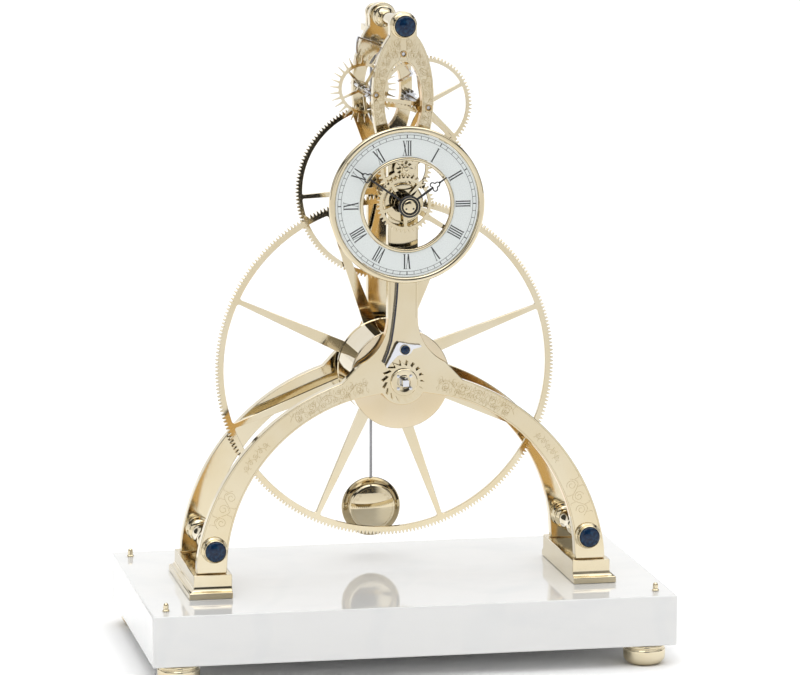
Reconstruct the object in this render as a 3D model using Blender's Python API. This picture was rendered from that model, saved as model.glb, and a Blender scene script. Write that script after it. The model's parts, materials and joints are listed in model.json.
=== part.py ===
"""Skeleton clock on a marble slab: two arched plates, a going barrel and an eight-day train.

The frame is +Z up, the dial faces -Y, and the origin is the centre of the base, level with the
feet. Every arbor runs along Y. All sizes are in metres, written as multiples of MM.
"""

import math

import bmesh
import bpy
from mathutils import Matrix, Vector

MM = 0.001
GAP = 0.3 * MM

# slab, feet and locating pins
SLAB_SIZE = Vector((383.0, 223.0, 37.0)) * MM
SLAB_EDGE = 1.5 * MM
FOOT_HEIGHT = 15.5 * MM
FOOT_RADIUS = 15.8 * MM
FOOT_PLACE = Vector((171.0, 96.0)) * MM
FOOT_STUD = 4.0 * MM
PIN_PLACE = Vector((179.5, 94.0)) * MM
CORNERS = ("front_left", "front_right", "rear_left", "rear_right")
PIN_RADIUS = 1.9 * MM
PIN_HEIGHT = 6.0 * MM
SLAB_TOP = FOOT_HEIGHT + SLAB_SIZE.z

# plinths under the legs
PLINTH_INNER = 126.2 * MM
PLINTH_OUTER = 154.0 * MM
PLINTH_FRONT = -58.2 * MM
PLINTH_REAR = 37.5 * MM
PLINTH_FLARE = 6.5 * MM
PLINTH_TOP = 69.4 * MM

# plates
PLATE_THICKNESS = 8.0 * MM
FRONT_FACE = -53.7 * MM
REAR_FACE = 24.3 * MM
FRONT_BACK = FRONT_FACE + PLATE_THICKNESS
REAR_BACK = REAR_FACE + PLATE_THICKNESS
LEG_FOOT = (129.3 * MM, 151.2 * MM)
LEG_OUTER_ARC = (-4.0 * MM, 57.1 * MM, 156.2 * MM)
LEG_INNER_ARC = (2.3 * MM, 71.5 * MM, 126.7 * MM)
COLUMN_HALF = 11.0 * MM
FILLET_RADIUS = 36.0 * MM
RING_CENTRE = 411.0 * MM
RING_HALF = (22.2 * MM, 50.0 * MM)
OPENING_CENTRE = 409.2 * MM
OPENING_HALF = (13.7 * MM, 28.4 * MM)
TOP_BOSS = 10.0 * MM
HUB_BOSS = 17.5 * MM

# arbors, as (x, z)
BARREL_AXIS = (0.0, 206.3 * MM)
CENTRE_AXIS = (0.0, 336.3 * MM)
STUD_AXIS = (0.0, 361.3 * MM)
THIRD_AXIS = (18.4 * MM, 404.1 * MM)
ESCAPE_AXIS = (-19.8 * MM, 413.9 * MM)
PALLET_AXIS = (0.0, 443.1 * MM)
CLICK_AXIS = (0.8 * MM, 229.7 * MM)
PILLAR_TOP = (0.0, 463.4 * MM)
PILLAR_LOW = (138.25 * MM, 87.0 * MM)
PIVOT_RADIUS = 1.2 * MM
PIVOT_HOLE = 1.6 * MM

# going train: teeth, and the planes (front, back) of each wheel along Y
GREAT_TEETH = 288
CENTRE_PINION_TEETH = 10
CENTRE_TEETH = 150
THIRD_PINION_TEETH = 12
THIRD_TEETH = 80
ESCAPE_PINION_TEETH = 10
ESCAPE_TEETH = 30
GREAT_PLANE = (11.3 * MM, 14.5 * MM)
CENTRE_PLANE = (17.6 * MM, 20.4 * MM)
THIRD_PLANE = (-34.2 * MM, -31.9 * MM)
ESCAPE_PLANE = (-6.0 * MM, -4.2 * MM)
ESCAPE_TIP = 24.9 * MM
ESCAPE_ROOT = 18.4 * MM
PALLET_CLEAR = 47.5

# barrel
DRUM_RADIUS = 36.6 * MM
DRUM_FRONT = -42.0 * MM
DRUM_WALL = 2.2 * MM
COVER_PLANE = (-44.7 * MM, -42.3 * MM)
ARBOR_RADIUS = 5.0 * MM
SQUARE_HALF = 2.7 * MM
SPRING_TURNS = 4
SPRING_SPACING = 4.2 * MM
SPRING_THICKNESS = 1.1 * MM

# winding work on the front plate
RATCHET_TEETH = 18
RATCHET_PLANE = (-57.6 * MM, -55.0 * MM)
RATCHET_TIP = 15.4 * MM
RATCHET_ROOT = 11.8 * MM
COLLET_RADIUS = 9.9 * MM

# motion work behind the dial
CANNON_TEETH = 12
MINUTE_TEETH = 36
MINUTE_PINION_TEETH = 10
HOUR_TEETH = 40
MINUTE_PLANE = (-59.0 * MM, -57.2 * MM)
HOUR_PLANE = (-62.4 * MM, -60.6 * MM)

# dial and hands
DIAL_FACE = -68.0 * MM
DIAL_BACK = -66.4 * MM
CHAPTER_RADII = (34.6 * MM, 52.0 * MM)
BEZEL_RADIUS = 56.5 * MM
INNER_RING_RADIUS = 31.8 * MM
DIAL_FEET = ((-12.6 * MM, 379.5 * MM), (12.6 * MM, 379.5 * MM), (0.0, 291.8 * MM))
DIAL_FOOT_RADIUS = 1.8 * MM
HOUR_HAND_PLANE = (-73.2 * MM, -72.2 * MM)
MINUTE_HAND_PLANE = (-75.4 * MM, -74.4 * MM)
HOUR_ANGLE = math.radians(54.6)
MINUTE_ANGLE = math.radians(305.3)

# pendulum
PENDULUM_PLANE = 69.0 * MM
BOB_CENTRE = 89.6 * MM
BOB_RADIUS = 22.4 * MM
BOB_HALF_DEPTH = 7.5 * MM
ROD_RADIUS = 1.1 * MM
COCK_PLANE = (50.0 * MM, 56.0 * MM)

GOLD = ((0.86, 0.74, 0.50), 0.12, 1.0)
STEEL = ((0.60, 0.61, 0.64), 0.18, 1.0)
DARK_STEEL = ((0.05, 0.055, 0.07), 0.25, 1.0)
MARBLE = ((0.88, 0.88, 0.86), 0.15, 0.0)
LAPIS = ((0.02, 0.07, 0.30), 0.10, 0.0)
DIAL_WHITE = ((0.90, 0.91, 0.93), 0.30, 0.0)


# ---------------------------------------------------------------- shared helpers


def make_material(name, look):
    """A Principled material from (colour, roughness, metallic)."""
    material = bpy.data.materials.new(name)
    material.use_nodes = True
    shader = material.node_tree.nodes["Principled BSDF"]
    shader.inputs["Base Color"].default_value = (*look[0], 1.0)
    shader.inputs["Roughness"].default_value = look[1]
    shader.inputs["Metallic"].default_value = look[2]
    return material


def finish(name, bm, look, place=(0.0, 0.0, 0.0)):
    """Turn a bmesh into a named object at its own axis, shaded smooth between sharp edges."""
    bmesh.ops.recalc_face_normals(bm, faces=bm.faces)
    mesh = bpy.data.meshes.new(name)
    bm.to_mesh(mesh)
    bm.free()
    mesh.shade_smooth()
    mesh.set_sharp_from_angle(angle=math.radians(32))
    mesh.materials.append(make_material(name, look))
    piece = bpy.data.objects.new(name, mesh)
    piece.location = place
    bpy.context.scene.collection.objects.link(piece)
    return piece


def apply_boolean(piece, other, operation):
    """Cut or join one object with another, keep the result as the first one's mesh."""
    modifier = piece.modifiers.new("boolean", "BOOLEAN")
    modifier.operation = operation
    modifier.solver = "EXACT"
    modifier.object = other
    bpy.context.view_layer.update()
    graph = bpy.context.evaluated_depsgraph_get()
    mesh = bpy.data.meshes.new_from_object(piece.evaluated_get(graph))
    piece.modifiers.clear()
    piece.data = mesh
    bpy.data.objects.remove(other)
    return piece


def cut(piece, *cutters):
    """Remove the cutters from a piece."""
    for cutter in cutters:
        apply_boolean(piece, cutter, "DIFFERENCE")
    return piece


def join(piece, *others):
    """Join overlapping solids into one closed body."""
    for other in others:
        apply_boolean(piece, other, "UNION")
    return piece


def arc(centre, radius, start, end, steps):
    """Points along a circular arc in the XZ plane; angles in degrees from +X towards +Z."""
    points = []
    for i in range(steps + 1):
        angle = math.radians(start + (end - start) * i / steps)
        points.append((centre[0] + radius * math.cos(angle), centre[1] + radius * math.sin(angle)))
    return points


def circle(centre, radius, steps=24, phase=0.0):
    """A closed loop around a circle."""
    return arc(centre, radius, phase, phase + 360.0, steps)[:-1]


def ellipse(centre, half, steps):
    """A closed loop around an upright ellipse."""
    loop = []
    for x, z in circle((0.0, 0.0), 1.0, steps):
        loop.append((centre[0] + half[0] * x, centre[1] + half[1] * z))
    return loop


def loop_edges(bm, loop, depth):
    """Add one closed loop of edges at a depth along Y."""
    verts = [bm.verts.new((x, depth, z)) for x, z in loop]
    return [bm.edges.new((verts[i - 1], verts[i])) for i in range(len(verts))]


def prism(name, loops, planes, look, axis=(0.0, 0.0)):
    """A flat plate between two planes of Y: the first loop is its outline, the rest are holes."""
    bm = bmesh.new()
    edges = []
    for loop in loops:
        edges += loop_edges(bm, loop, planes[0])
    bmesh.ops.triangle_fill(bm, use_beauty=True, use_dissolve=False, edges=edges)
    result = bmesh.ops.extrude_face_region(bm, geom=bm.faces[:])
    moved = [item for item in result["geom"] if isinstance(item, bmesh.types.BMVert)]
    bmesh.ops.translate(bm, verts=moved, vec=(0.0, planes[1] - planes[0], 0.0))
    return finish(name, bm, look, (axis[0], 0.0, axis[1]))


def turned(name, profile, look, place=(0.0, 0.0, 0.0), steps=24, upright=False):
    """Spin (radius, position) points about Y, or about Z if upright. A profile that starts off
    the axis is a closed ring."""
    bm = bmesh.new()
    verts = [bm.verts.new((radius, 0.0, position)) for radius, position in profile]
    edges = [bm.edges.new(pair) for pair in zip(verts, verts[1:])]
    if profile[0][0] > 0.0:
        edges.append(bm.edges.new((verts[-1], verts[0])))
    bmesh.ops.spin(
        bm,
        geom=verts + edges,
        cent=(0.0, 0.0, 0.0),
        axis=(0.0, 0.0, 1.0),
        angle=math.tau,
        steps=steps,
        use_merge=True,
    )
    bmesh.ops.remove_doubles(bm, verts=bm.verts, dist=0.002 * MM)
    if not upright:
        bmesh.ops.rotate(bm, verts=bm.verts, matrix=Matrix.Rotation(-math.pi / 2, 3, "X"))
    return finish(name, bm, look, place)


def shaft(name, start, sections, look, axis):
    """A stepped arbor along Y: each section is (outline, far end), one outline inside its neighbour."""
    bm = bmesh.new()
    depth = start
    previous = None
    for outline, end in sections:
        near = loop_edges(bm, outline, depth)
        rim = near if previous is None else near + previous
        bmesh.ops.triangle_fill(bm, use_beauty=True, use_dissolve=False, edges=rim)
        result = bmesh.ops.extrude_edge_only(bm, edges=near)
        moved = [item for item in result["geom"] if isinstance(item, bmesh.types.BMVert)]
        bmesh.ops.translate(bm, verts=moved, vec=(0.0, end - depth, 0.0))
        previous = [item for item in result["geom"] if isinstance(item, bmesh.types.BMEdge)]
        previous = [edge for edge in previous if all(vert in moved for vert in edge.verts)]
        depth = end
    bmesh.ops.triangle_fill(bm, use_beauty=True, use_dissolve=False, edges=previous)
    return finish(name, bm, look, (axis[0], 0.0, axis[1]))


def block(name, low, high, look):
    """A plain box between two corners, used for arms, tongues and cutters."""
    bm = bmesh.new()
    bmesh.ops.create_cube(bm, size=1.0)
    low, high = Vector(low), Vector(high)
    bmesh.ops.scale(bm, verts=bm.verts, vec=high - low)
    bmesh.ops.translate(bm, verts=bm.verts, vec=(low + high) / 2)
    return finish(name, bm, look)


def toothed(teeth, root, tip, root_share, tip_share, phase=0.0):
    """A gear outline about the origin. Shares are of one tooth pitch; phase is one tooth's angle
    in degrees. A zero tip share makes a pointed tooth, a full root share a V-shaped space."""
    pitch = math.tau / teeth
    marks = [(-root_share / 2, root), (root_share / 2, root)]
    tips = [(0.0, tip)] if tip_share == 0.0 else [(-tip_share / 2, tip), (tip_share / 2, tip)]
    marks[1:1] = tips
    if root_share == 1.0:
        marks.pop()
    loop = []
    for i in range(teeth):
        for share, radius in marks:
            angle = math.radians(phase) + (i + share) * pitch
            loop.append((radius * math.cos(angle), radius * math.sin(angle)))
    return loop


def windows(count, hub, rim, hub_width, rim_width, phase, steps):
    """Openings between tapered spokes; phase is one spoke's angle in degrees."""
    loops = []
    for i in range(count):
        spoke = phase + 360.0 * i / count
        inner = math.degrees(math.asin(hub_width / 2 / hub))
        outer = math.degrees(math.asin(rim_width / 2 / rim))
        turn = 360.0 / count
        loop = arc((0.0, 0.0), rim, spoke + outer, spoke + turn - outer, steps)
        loop += arc((0.0, 0.0), hub, spoke + turn - inner, spoke + inner, 2)
        loops.append(loop)
    return loops


# ---------------------------------------------------------------- base


def build_slab():
    """Marble slab with eased edges and a blind hole over each foot's stud."""
    half = SLAB_SIZE / 2
    low = (-half.x, -half.y, FOOT_HEIGHT)
    slab = block("base_slab", low, (half.x, half.y, SLAB_TOP), MARBLE)
    bevel = slab.modifiers.new("eased_edges", "BEVEL")
    bevel.width = SLAB_EDGE
    bevel.segments = 2
    radius = FOOT_STUD + 2 * GAP
    for x, y in corner_places(FOOT_PLACE):
        profile = [(0.0, 11.0 * MM), (radius, 11.0 * MM), (radius, -1.0 * MM), (0.0, -1.0 * MM)]
        cutter = turned("cutter", profile, MARBLE, (x, y, FOOT_HEIGHT), 12, upright=True)
        cut(slab, cutter)


def corner_places(place):
    """The four mirrored positions of a corner piece, front left first."""
    return [(sx * place.x, sy * place.y) for sy in (-1, 1) for sx in (-1, 1)]


def build_feet():
    """Four turned bun feet, each with a stud that goes up into the slab."""
    top = FOOT_HEIGHT - GAP
    profile = [
        (0.0, top + 9.0 * MM),
        (FOOT_STUD, top + 9.0 * MM),
        (FOOT_STUD, top),
        (FOOT_RADIUS - 0.8 * MM, top),
        (FOOT_RADIUS, top - 1.2 * MM),
        (FOOT_RADIUS, 8.6 * MM),
        (FOOT_RADIUS - 0.9 * MM, 4.6 * MM),
        (FOOT_RADIUS - 3.6 * MM, 1.2 * MM),
        (FOOT_RADIUS - 6.4 * MM, 0.0),
        (0.0, 0.0),
    ]
    for side, (x, y) in zip(CORNERS, corner_places(FOOT_PLACE)):
        turned(f"foot_{side}", profile, GOLD, (x, y, 0.0), 14, upright=True)


def build_pins():
    """Four domed locating pins near the slab's corners."""
    profile = [(0.0, PIN_HEIGHT)]
    for angle in (60, 30, 0):
        radius = PIN_RADIUS * math.cos(math.radians(angle))
        rise = PIN_RADIUS * math.sin(math.radians(angle))
        profile.append((radius, PIN_HEIGHT - PIN_RADIUS + rise))
    profile += [(PIN_RADIUS, 0.9 * MM), (PIN_RADIUS + 0.6 * MM, 0.0), (0.0, 0.0)]
    for side, (x, y) in zip(CORNERS, corner_places(PIN_PLACE)):
        turned(f"pin_{side}", profile, GOLD, (x, y, SLAB_TOP + GAP), 8, upright=True)


def build_plinth(name, side):
    """A long foot block with a flat inner side and a cavetto on its other three sides."""
    base = SLAB_TOP + GAP
    levels = [
        (PLINTH_TOP, 0.0),
        (PLINTH_TOP - 8.4 * MM, 0.4 * MM),
        (PLINTH_TOP - 10.0 * MM, 2.4 * MM),
        (base + 4.2 * MM, PLINTH_FLARE),
        (base, PLINTH_FLARE),
    ]
    bm = bmesh.new()
    rings = []
    for height, flare in levels:
        inner, outer = side * PLINTH_INNER, side * (PLINTH_OUTER + flare)
        front, rear = PLINTH_FRONT - flare, PLINTH_REAR + flare
        corners = [(inner, front), (outer, front), (outer, rear), (inner, rear)]
        rings.append([bm.verts.new((x, y, height)) for x, y in corners])
    for upper, lower in zip(rings, rings[1:]):
        for i in range(4):
            bm.faces.new((upper[i - 1], upper[i], lower[i], lower[i - 1]))
    bm.faces.new(rings[0])
    bm.faces.new(rings[-1])
    finish(name, bm, GOLD)


# ---------------------------------------------------------------- plates and pillars


def arc_crossing(centre_x, centre_z, radius, height):
    """Angle in degrees at which an arc reaches a height, on its right-hand side."""
    return math.degrees(math.asin((height - centre_z) / radius))


def half_outline():
    """Right half of the plate outline, from the middle of the arch's underside to the top boss."""
    foot = PLINTH_TOP + GAP
    ix, iz, inner = LEG_INNER_ARC
    ox, oz, outer = LEG_OUTER_ARC
    points = arc(BARREL_AXIS, HUB_BOSS, -90.0, -30.0, 4)
    inner_low = arc_crossing(ix, iz, inner, foot)
    points += arc((ix, iz), inner, 75.0, inner_low + 1.5, 12)
    points += [(LEG_FOOT[0], foot), (LEG_FOOT[1], foot)]
    outer_low = arc_crossing(ox, oz, outer, foot)
    points += arc((ox, oz), outer, outer_low + 4.0, 72.0, 14)
    corner = COLUMN_HALF + FILLET_RADIUS
    points += arc((corner, 252.0 * MM), FILLET_RADIUS, 244.0, 180.0, 6)
    bottom = RING_CENTRE - RING_HALF[1] * math.sqrt(1 - (COLUMN_HALF / RING_HALF[0]) ** 2)
    points.append((COLUMN_HALF, bottom))
    for angle in (-42.0, -26.0, -10.0, 8.0, 24.0, 39.0, 53.0, 63.0):
        x = RING_HALF[0] * math.cos(math.radians(angle))
        z = RING_HALF[1] * math.sin(math.radians(angle))
        points.append((x, RING_CENTRE + z))
    points += arc(PILLAR_TOP, TOP_BOSS, -20.0, 90.0, 5)
    return points


def plate_loops(holes):
    """The whole outline, the lancet opening and round holes given as (axis, radius, steps)."""
    right = half_outline()
    left = [(-x, z) for x, z in reversed(right[1:-1])]
    loops = [right + left, ellipse((0.0, OPENING_CENTRE), OPENING_HALF, 28)]
    loops += [circle(axis, radius, steps) for axis, radius, steps in holes]
    return loops


def shared_holes():
    """Holes that both plates have: pillars and the train's pivots."""
    stem = 4.5 * MM
    low = [((side * PILLAR_LOW[0], PILLAR_LOW[1]), stem, 14) for side in (-1, 1)]
    pivots = [(axis, PIVOT_HOLE, 10) for axis in (THIRD_AXIS, ESCAPE_AXIS)]
    return low + pivots + [(PILLAR_TOP, stem, 14)]


def build_plates():
    """Front and rear plates, cut to one outline. The front one carries the raised centre boss."""
    front_holes = [
        (BARREL_AXIS, 6.4 * MM, 16),
        (CENTRE_AXIS, 2.8 * MM, 12),
        (STUD_AXIS, 1.7 * MM, 10),
        (CLICK_AXIS, 1.7 * MM, 10),
        (PALLET_AXIS, PIVOT_HOLE, 10),
    ]
    planes = (FRONT_FACE, FRONT_BACK)
    front = prism("front_plate", plate_loops(shared_holes() + front_holes), planes, GOLD)
    inner, outer = 2.8 * MM, 14.5 * MM
    collar = prism(
        "collar",
        [circle(CENTRE_AXIS, outer, 28), circle(CENTRE_AXIS, inner, 12)],
        (FRONT_FACE - 2.0 * MM, FRONT_FACE + 1.0 * MM),
        GOLD,
    )
    join(front, collar)
    rear_holes = [
        (BARREL_AXIS, 4.1 * MM, 14),
        (CENTRE_AXIS, PIVOT_HOLE, 10),
        (PALLET_AXIS, 3.0 * MM, 12),
    ]
    prism("rear_plate", plate_loops(shared_holes() + rear_holes), (REAR_FACE, REAR_BACK), GOLD)


def pillar_profile(front_stem, rear_stem):
    """A baluster pillar from its front stem to its rear stem, with a ring near each plate."""
    near, far = FRONT_BACK + GAP, REAR_FACE - GAP
    middle = (near + far) / 2
    stem = 4.0 * MM
    half = [
        (9.2 * MM, 0.0),
        (9.2 * MM, 3.0 * MM),
        (5.4 * MM, 5.0 * MM),
        (8.4 * MM, 9.0 * MM),
        (5.2 * MM, 12.5 * MM),
        (7.8 * MM, 22.0 * MM),
    ]
    profile = [(0.0, front_stem), (stem, front_stem), (stem, near)]
    profile += [(radius, near + offset) for radius, offset in half]
    profile += [(6.6 * MM, middle)]
    profile += [(radius, far - offset) for radius, offset in reversed(half)]
    profile += [(stem, far), (stem, rear_stem), (0.0, rear_stem)]
    return profile


def build_pillars():
    """Three pillars, each with a jewelled cap on the front plate."""
    places = {
        "left": (-PILLAR_LOW[0], 0.0, PILLAR_LOW[1]),
        "right": (PILLAR_LOW[0], 0.0, PILLAR_LOW[1]),
        "top": (PILLAR_TOP[0], 0.0, PILLAR_TOP[1]),
    }
    middle = (FRONT_FACE + FRONT_BACK) / 2
    for side, place in places.items():
        rear_stem = 60.5 * MM if side == "top" else 37.5 * MM
        turned(f"pillar_{side}", pillar_profile(middle + GAP, rear_stem), GOLD, place, 12)
        turned(f"jewel_cup_{side}", cup_profile(middle), GOLD, place, 14)
        turned(f"jewel_{side}", jewel_profile(7.2 * MM, -59.6 * MM, 2.0 * MM), LAPIS, place, 14)
        if side != "top":
            turned(f"pillar_nut_{side}", nut_profile(REAR_BACK + GAP, 37.5 * MM, 8.0 * MM), GOLD, place, 12)


def cup_profile(stem_end):
    """A flanged cup on a stud, with a recess for its stone. Runs from the stud to the recess."""
    back = FRONT_FACE - GAP
    stem = 4.0 * MM
    return [
        (0.0, stem_end - GAP),
        (stem, stem_end - GAP),
        (stem, back),
        (9.7 * MM, back),
        (9.7 * MM, back - 1.4 * MM),
        (8.3 * MM, back - 2.2 * MM),
        (8.2 * MM, back - 6.4 * MM),
        (7.5 * MM, back - 6.4 * MM),
        (7.5 * MM, back - 5.3 * MM),
        (0.0, back - 5.3 * MM),
    ]


def jewel_profile(radius, back, rise):
    """A low cabochon: flat back, short girdle, domed front towards -Y."""
    profile = [(0.0, back), (radius, back)]
    for share in (0.0, 0.35, 0.7):
        width = radius * math.sqrt(1 - share * share)
        profile.append((width, back - 0.7 * MM - rise * share))
    profile.append((0.0, back - 0.7 * MM - rise))
    return profile


def nut_profile(front, stem_end, radius):
    """A domed blind nut over a stem that ends at stem_end."""
    bore = 4.4 * MM
    floor = stem_end + GAP
    return [
        (0.0, floor),
        (bore, floor),
        (bore, front),
        (radius, front),
        (radius, front + 2.4 * MM),
        (radius - 1.6 * MM, floor + 1.8 * MM),
        (0.0, floor + 3.4 * MM),
    ]


# ---------------------------------------------------------------- barrel and winding work


def build_barrel():
    """Spring barrel: drum on the great wheel, cover, mainspring and arbor."""
    place = (BARREL_AXIS[0], 0.0, BARREL_AXIS[1])
    back = GREAT_PLANE[0] - GAP
    bore = ARBOR_RADIUS + 1.2 * MM
    inner = DRUM_RADIUS - DRUM_WALL
    drum = [
        (bore, back),
        (DRUM_RADIUS, back),
        (DRUM_RADIUS, DRUM_FRONT),
        (inner, DRUM_FRONT),
        (inner, back - 3.0 * MM),
        (bore, back - 3.0 * MM),
    ]
    turned("barrel_drum", drum, GOLD, place, 28)
    cover = [
        (bore, COVER_PLANE[1]),
        (bore, COVER_PLANE[0]),
        (DRUM_RADIUS - 0.6 * MM, COVER_PLANE[0]),
        (DRUM_RADIUS, COVER_PLANE[0] + 0.6 * MM),
        (DRUM_RADIUS, COVER_PLANE[1]),
    ]
    turned("barrel_cover", cover, GOLD, place, 28)
    square = circle((0.0, 0.0), SQUARE_HALF * math.sqrt(2), 4, 45.0)
    sections = [
        (square, RATCHET_PLANE[1] + GAP),
        (circle((0.0, 0.0), ARBOR_RADIUS, 16), REAR_FACE - 3.0 * MM),
        (circle((0.0, 0.0), 3.6 * MM, 16), REAR_BACK - 1.0 * MM),
    ]
    shaft("barrel_arbor", -67.0 * MM, sections, STEEL, BARREL_AXIS)
    build_mainspring()


def build_mainspring():
    """A flat spiral ribbon between the arbor and the drum wall."""
    steps = 14 * SPRING_TURNS
    start = ARBOR_RADIUS + 4.0 * MM
    outer_side = []
    inner_side = []
    for i in range(steps + 1):
        turn = i / 14
        angle = math.tau * turn
        radius = start + SPRING_SPACING * turn
        ray = (math.cos(angle), math.sin(angle))
        outer_side.append(((radius + SPRING_THICKNESS) * ray[0], (radius + SPRING_THICKNESS) * ray[1]))
        inner_side.append((radius * ray[0], radius * ray[1]))
    planes = (DRUM_FRONT + 2.0 * MM, GREAT_PLANE[0] - 6.0 * MM)
    prism("mainspring", [outer_side + inner_side[::-1]], planes, DARK_STEEL, BARREL_AXIS)


def ratchet_outline():
    """Crown-like hooked teeth, leaning clockwise as seen from the front."""
    pitch = math.tau / RATCHET_TEETH
    loop = []
    for i in range(RATCHET_TEETH):
        for share, radius in ((0.0, RATCHET_ROOT), (0.42, RATCHET_ROOT + 1.2 * MM), (0.92, RATCHET_TIP)):
            angle = (i + share) * pitch
            loop.append((radius * math.cos(angle), radius * math.sin(angle)))
    return loop


def build_winding_work():
    """Ratchet wheel with its raised collet, click, click spring and the click's jewelled screw."""
    hole = SQUARE_HALF + GAP
    square = circle((0.0, 0.0), hole * math.sqrt(2), 4, 45.0)
    ratchet = prism("ratchet_wheel", [ratchet_outline(), square], RATCHET_PLANE, GOLD, BARREL_AXIS)
    collet_planes = (RATCHET_PLANE[0] - 2.4 * MM, RATCHET_PLANE[0] + 0.6 * MM)
    loops = [circle((0.0, 0.0), COLLET_RADIUS, 28), circle((0.0, 0.0), hole * math.sqrt(2), 4, 45.0)]
    join(ratchet, prism("collet", loops, collet_planes, GOLD, BARREL_AXIS))

    arms = [
        (-5.4 * MM, 6.4 * MM),
        (-7.2 * MM, 4.2 * MM),
        (-14.0 * MM, -11.6 * MM),
        (-13.2 * MM, -13.4 * MM),
        (-10.2 * MM, -10.4 * MM),
        (-4.0 * MM, -3.8 * MM),
        (4.0 * MM, -3.6 * MM),
        (11.6 * MM, 1.4 * MM),
        (11.8 * MM, 3.0 * MM),
    ]
    bore = circle((0.0, 0.0), 1.9 * MM, 12)
    prism("click", [arms, bore], RATCHET_PLANE, STEEL, CLICK_AXIS)
    screw = [
        (0.0, FRONT_FACE + 5.0 * MM),
        (1.4 * MM, FRONT_FACE + 5.0 * MM),
        (1.4 * MM, RATCHET_PLANE[0] - GAP),
        (3.5 * MM, RATCHET_PLANE[0] - GAP),
        (3.4 * MM, RATCHET_PLANE[0] - 1.0 * MM),
        (2.2 * MM, RATCHET_PLANE[0] - 2.1 * MM),
        (0.0, RATCHET_PLANE[0] - 2.5 * MM),
    ]
    turned("click_screw", screw, LAPIS, (CLICK_AXIS[0], 0.0, CLICK_AXIS[1]), 14)

    width = 0.7 * MM
    centre_line = [
        (-4.6 * MM, 279.0 * MM),
        (-6.4 * MM, 256.0 * MM),
        (-9.2 * MM, 236.0 * MM),
        (-14.6 * MM, 220.5 * MM),
    ]
    left = [(x - width, z) for x, z in centre_line]
    right = [(x + width, z) for x, z in centre_line]
    planes = (RATCHET_PLANE[0], FRONT_FACE - GAP)
    prism("click_spring", [left + right[::-1]], planes, DARK_STEEL)


def build_great_wheel():
    """Great wheel with eight tapered spokes, on the back of the drum."""
    root, tip = 124.5 * MM, 126.9 * MM
    outline = toothed(GREAT_TEETH, root, tip, 1.0, 0.0, 90.0)
    loops = [outline, circle((0.0, 0.0), ARBOR_RADIUS + 1.2 * MM, 16)]
    loops += windows(8, 34.0 * MM, 120.8 * MM, 9.4 * MM, 3.6 * MM, 20.0, 8)
    prism("great_wheel", loops, GREAT_PLANE, GOLD, BARREL_AXIS)


# ---------------------------------------------------------------- going train


def towards(axis, other):
    """Angle in degrees from one arbor to another."""
    return math.degrees(math.atan2(other[1] - axis[1], other[0] - axis[0]))


def pinion_phase(axis, other, teeth):
    """Leaf phase that leaves a space facing the other arbor's tooth."""
    return towards(axis, other) + 180.0 / teeth


def build_centre_arbor():
    """Centre arbor with its ten-leaf pinion, and the centre wheel behind the great wheel."""
    phase = pinion_phase(CENTRE_AXIS, BARREL_AXIS, CENTRE_PINION_TEETH)
    leaves = toothed(CENTRE_PINION_TEETH, 2.9 * MM, 5.05 * MM, 0.42, 0.16, phase)
    body = circle((0.0, 0.0), 2.2 * MM, 12)
    pivot = circle((0.0, 0.0), PIVOT_RADIUS, 12)
    sections = [
        (body, 9.6 * MM),
        (leaves, GREAT_PLANE[1] + 1.6 * MM),
        (body, REAR_FACE - 0.8 * MM),
        (pivot, REAR_BACK - 0.5 * MM),
    ]
    shaft("centre_arbor", -78.0 * MM, sections, STEEL, CENTRE_AXIS)
    outline = toothed(CENTRE_TEETH, 63.9 * MM, 66.0 * MM, 1.0, 0.0, towards(CENTRE_AXIS, THIRD_AXIS))
    loops = [outline, circle((0.0, 0.0), 2.5 * MM, 12)]
    loops += windows(5, 9.0 * MM, 61.0 * MM, 5.0 * MM, 3.0 * MM, 183.5, 9)
    prism("centre_wheel", loops, CENTRE_PLANE, GOLD, CENTRE_AXIS)


def build_third():
    """Third arbor, whose pinion is driven by the centre wheel, and third wheel."""
    phase = pinion_phase(THIRD_AXIS, CENTRE_AXIS, THIRD_PINION_TEETH)
    leaves = toothed(THIRD_PINION_TEETH, 3.75 * MM, 5.9 * MM, 0.42, 0.16, phase)
    body = circle((0.0, 0.0), 2.0 * MM, 12)
    pivot = circle((0.0, 0.0), PIVOT_RADIUS, 12)
    sections = [
        (pivot, FRONT_BACK + 0.8 * MM),
        (body, CENTRE_PLANE[0] - 3.6 * MM),
        (leaves, CENTRE_PLANE[1] + 2.4 * MM),
        (pivot, REAR_BACK - 0.5 * MM),
    ]
    shaft("third_arbor", FRONT_FACE + 0.3 * MM, sections, STEEL, THIRD_AXIS)
    outline = toothed(THIRD_TEETH, 33.9 * MM, 36.0 * MM, 1.0, 0.0, towards(THIRD_AXIS, ESCAPE_AXIS))
    loops = [outline, circle((0.0, 0.0), 2.3 * MM, 12)]
    loops += windows(5, 6.0 * MM, 31.6 * MM, 3.4 * MM, 2.2 * MM, 27.0, 6)
    prism("third_wheel", loops, THIRD_PLANE, GOLD, THIRD_AXIS)


def escape_outline():
    """Thirty long pointed teeth, undercut on the leading side."""
    phase = math.radians(towards(ESCAPE_AXIS, PALLET_AXIS)) + math.radians(48.0)
    pitch = math.tau / ESCAPE_TEETH
    loop = []
    for i in range(ESCAPE_TEETH):
        for share, radius in ((0.0, ESCAPE_TIP), (0.3, ESCAPE_ROOT), (0.88, ESCAPE_ROOT)):
            angle = phase + (i + share) * pitch
            loop.append((radius * math.cos(angle), radius * math.sin(angle)))
    return loop


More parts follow.
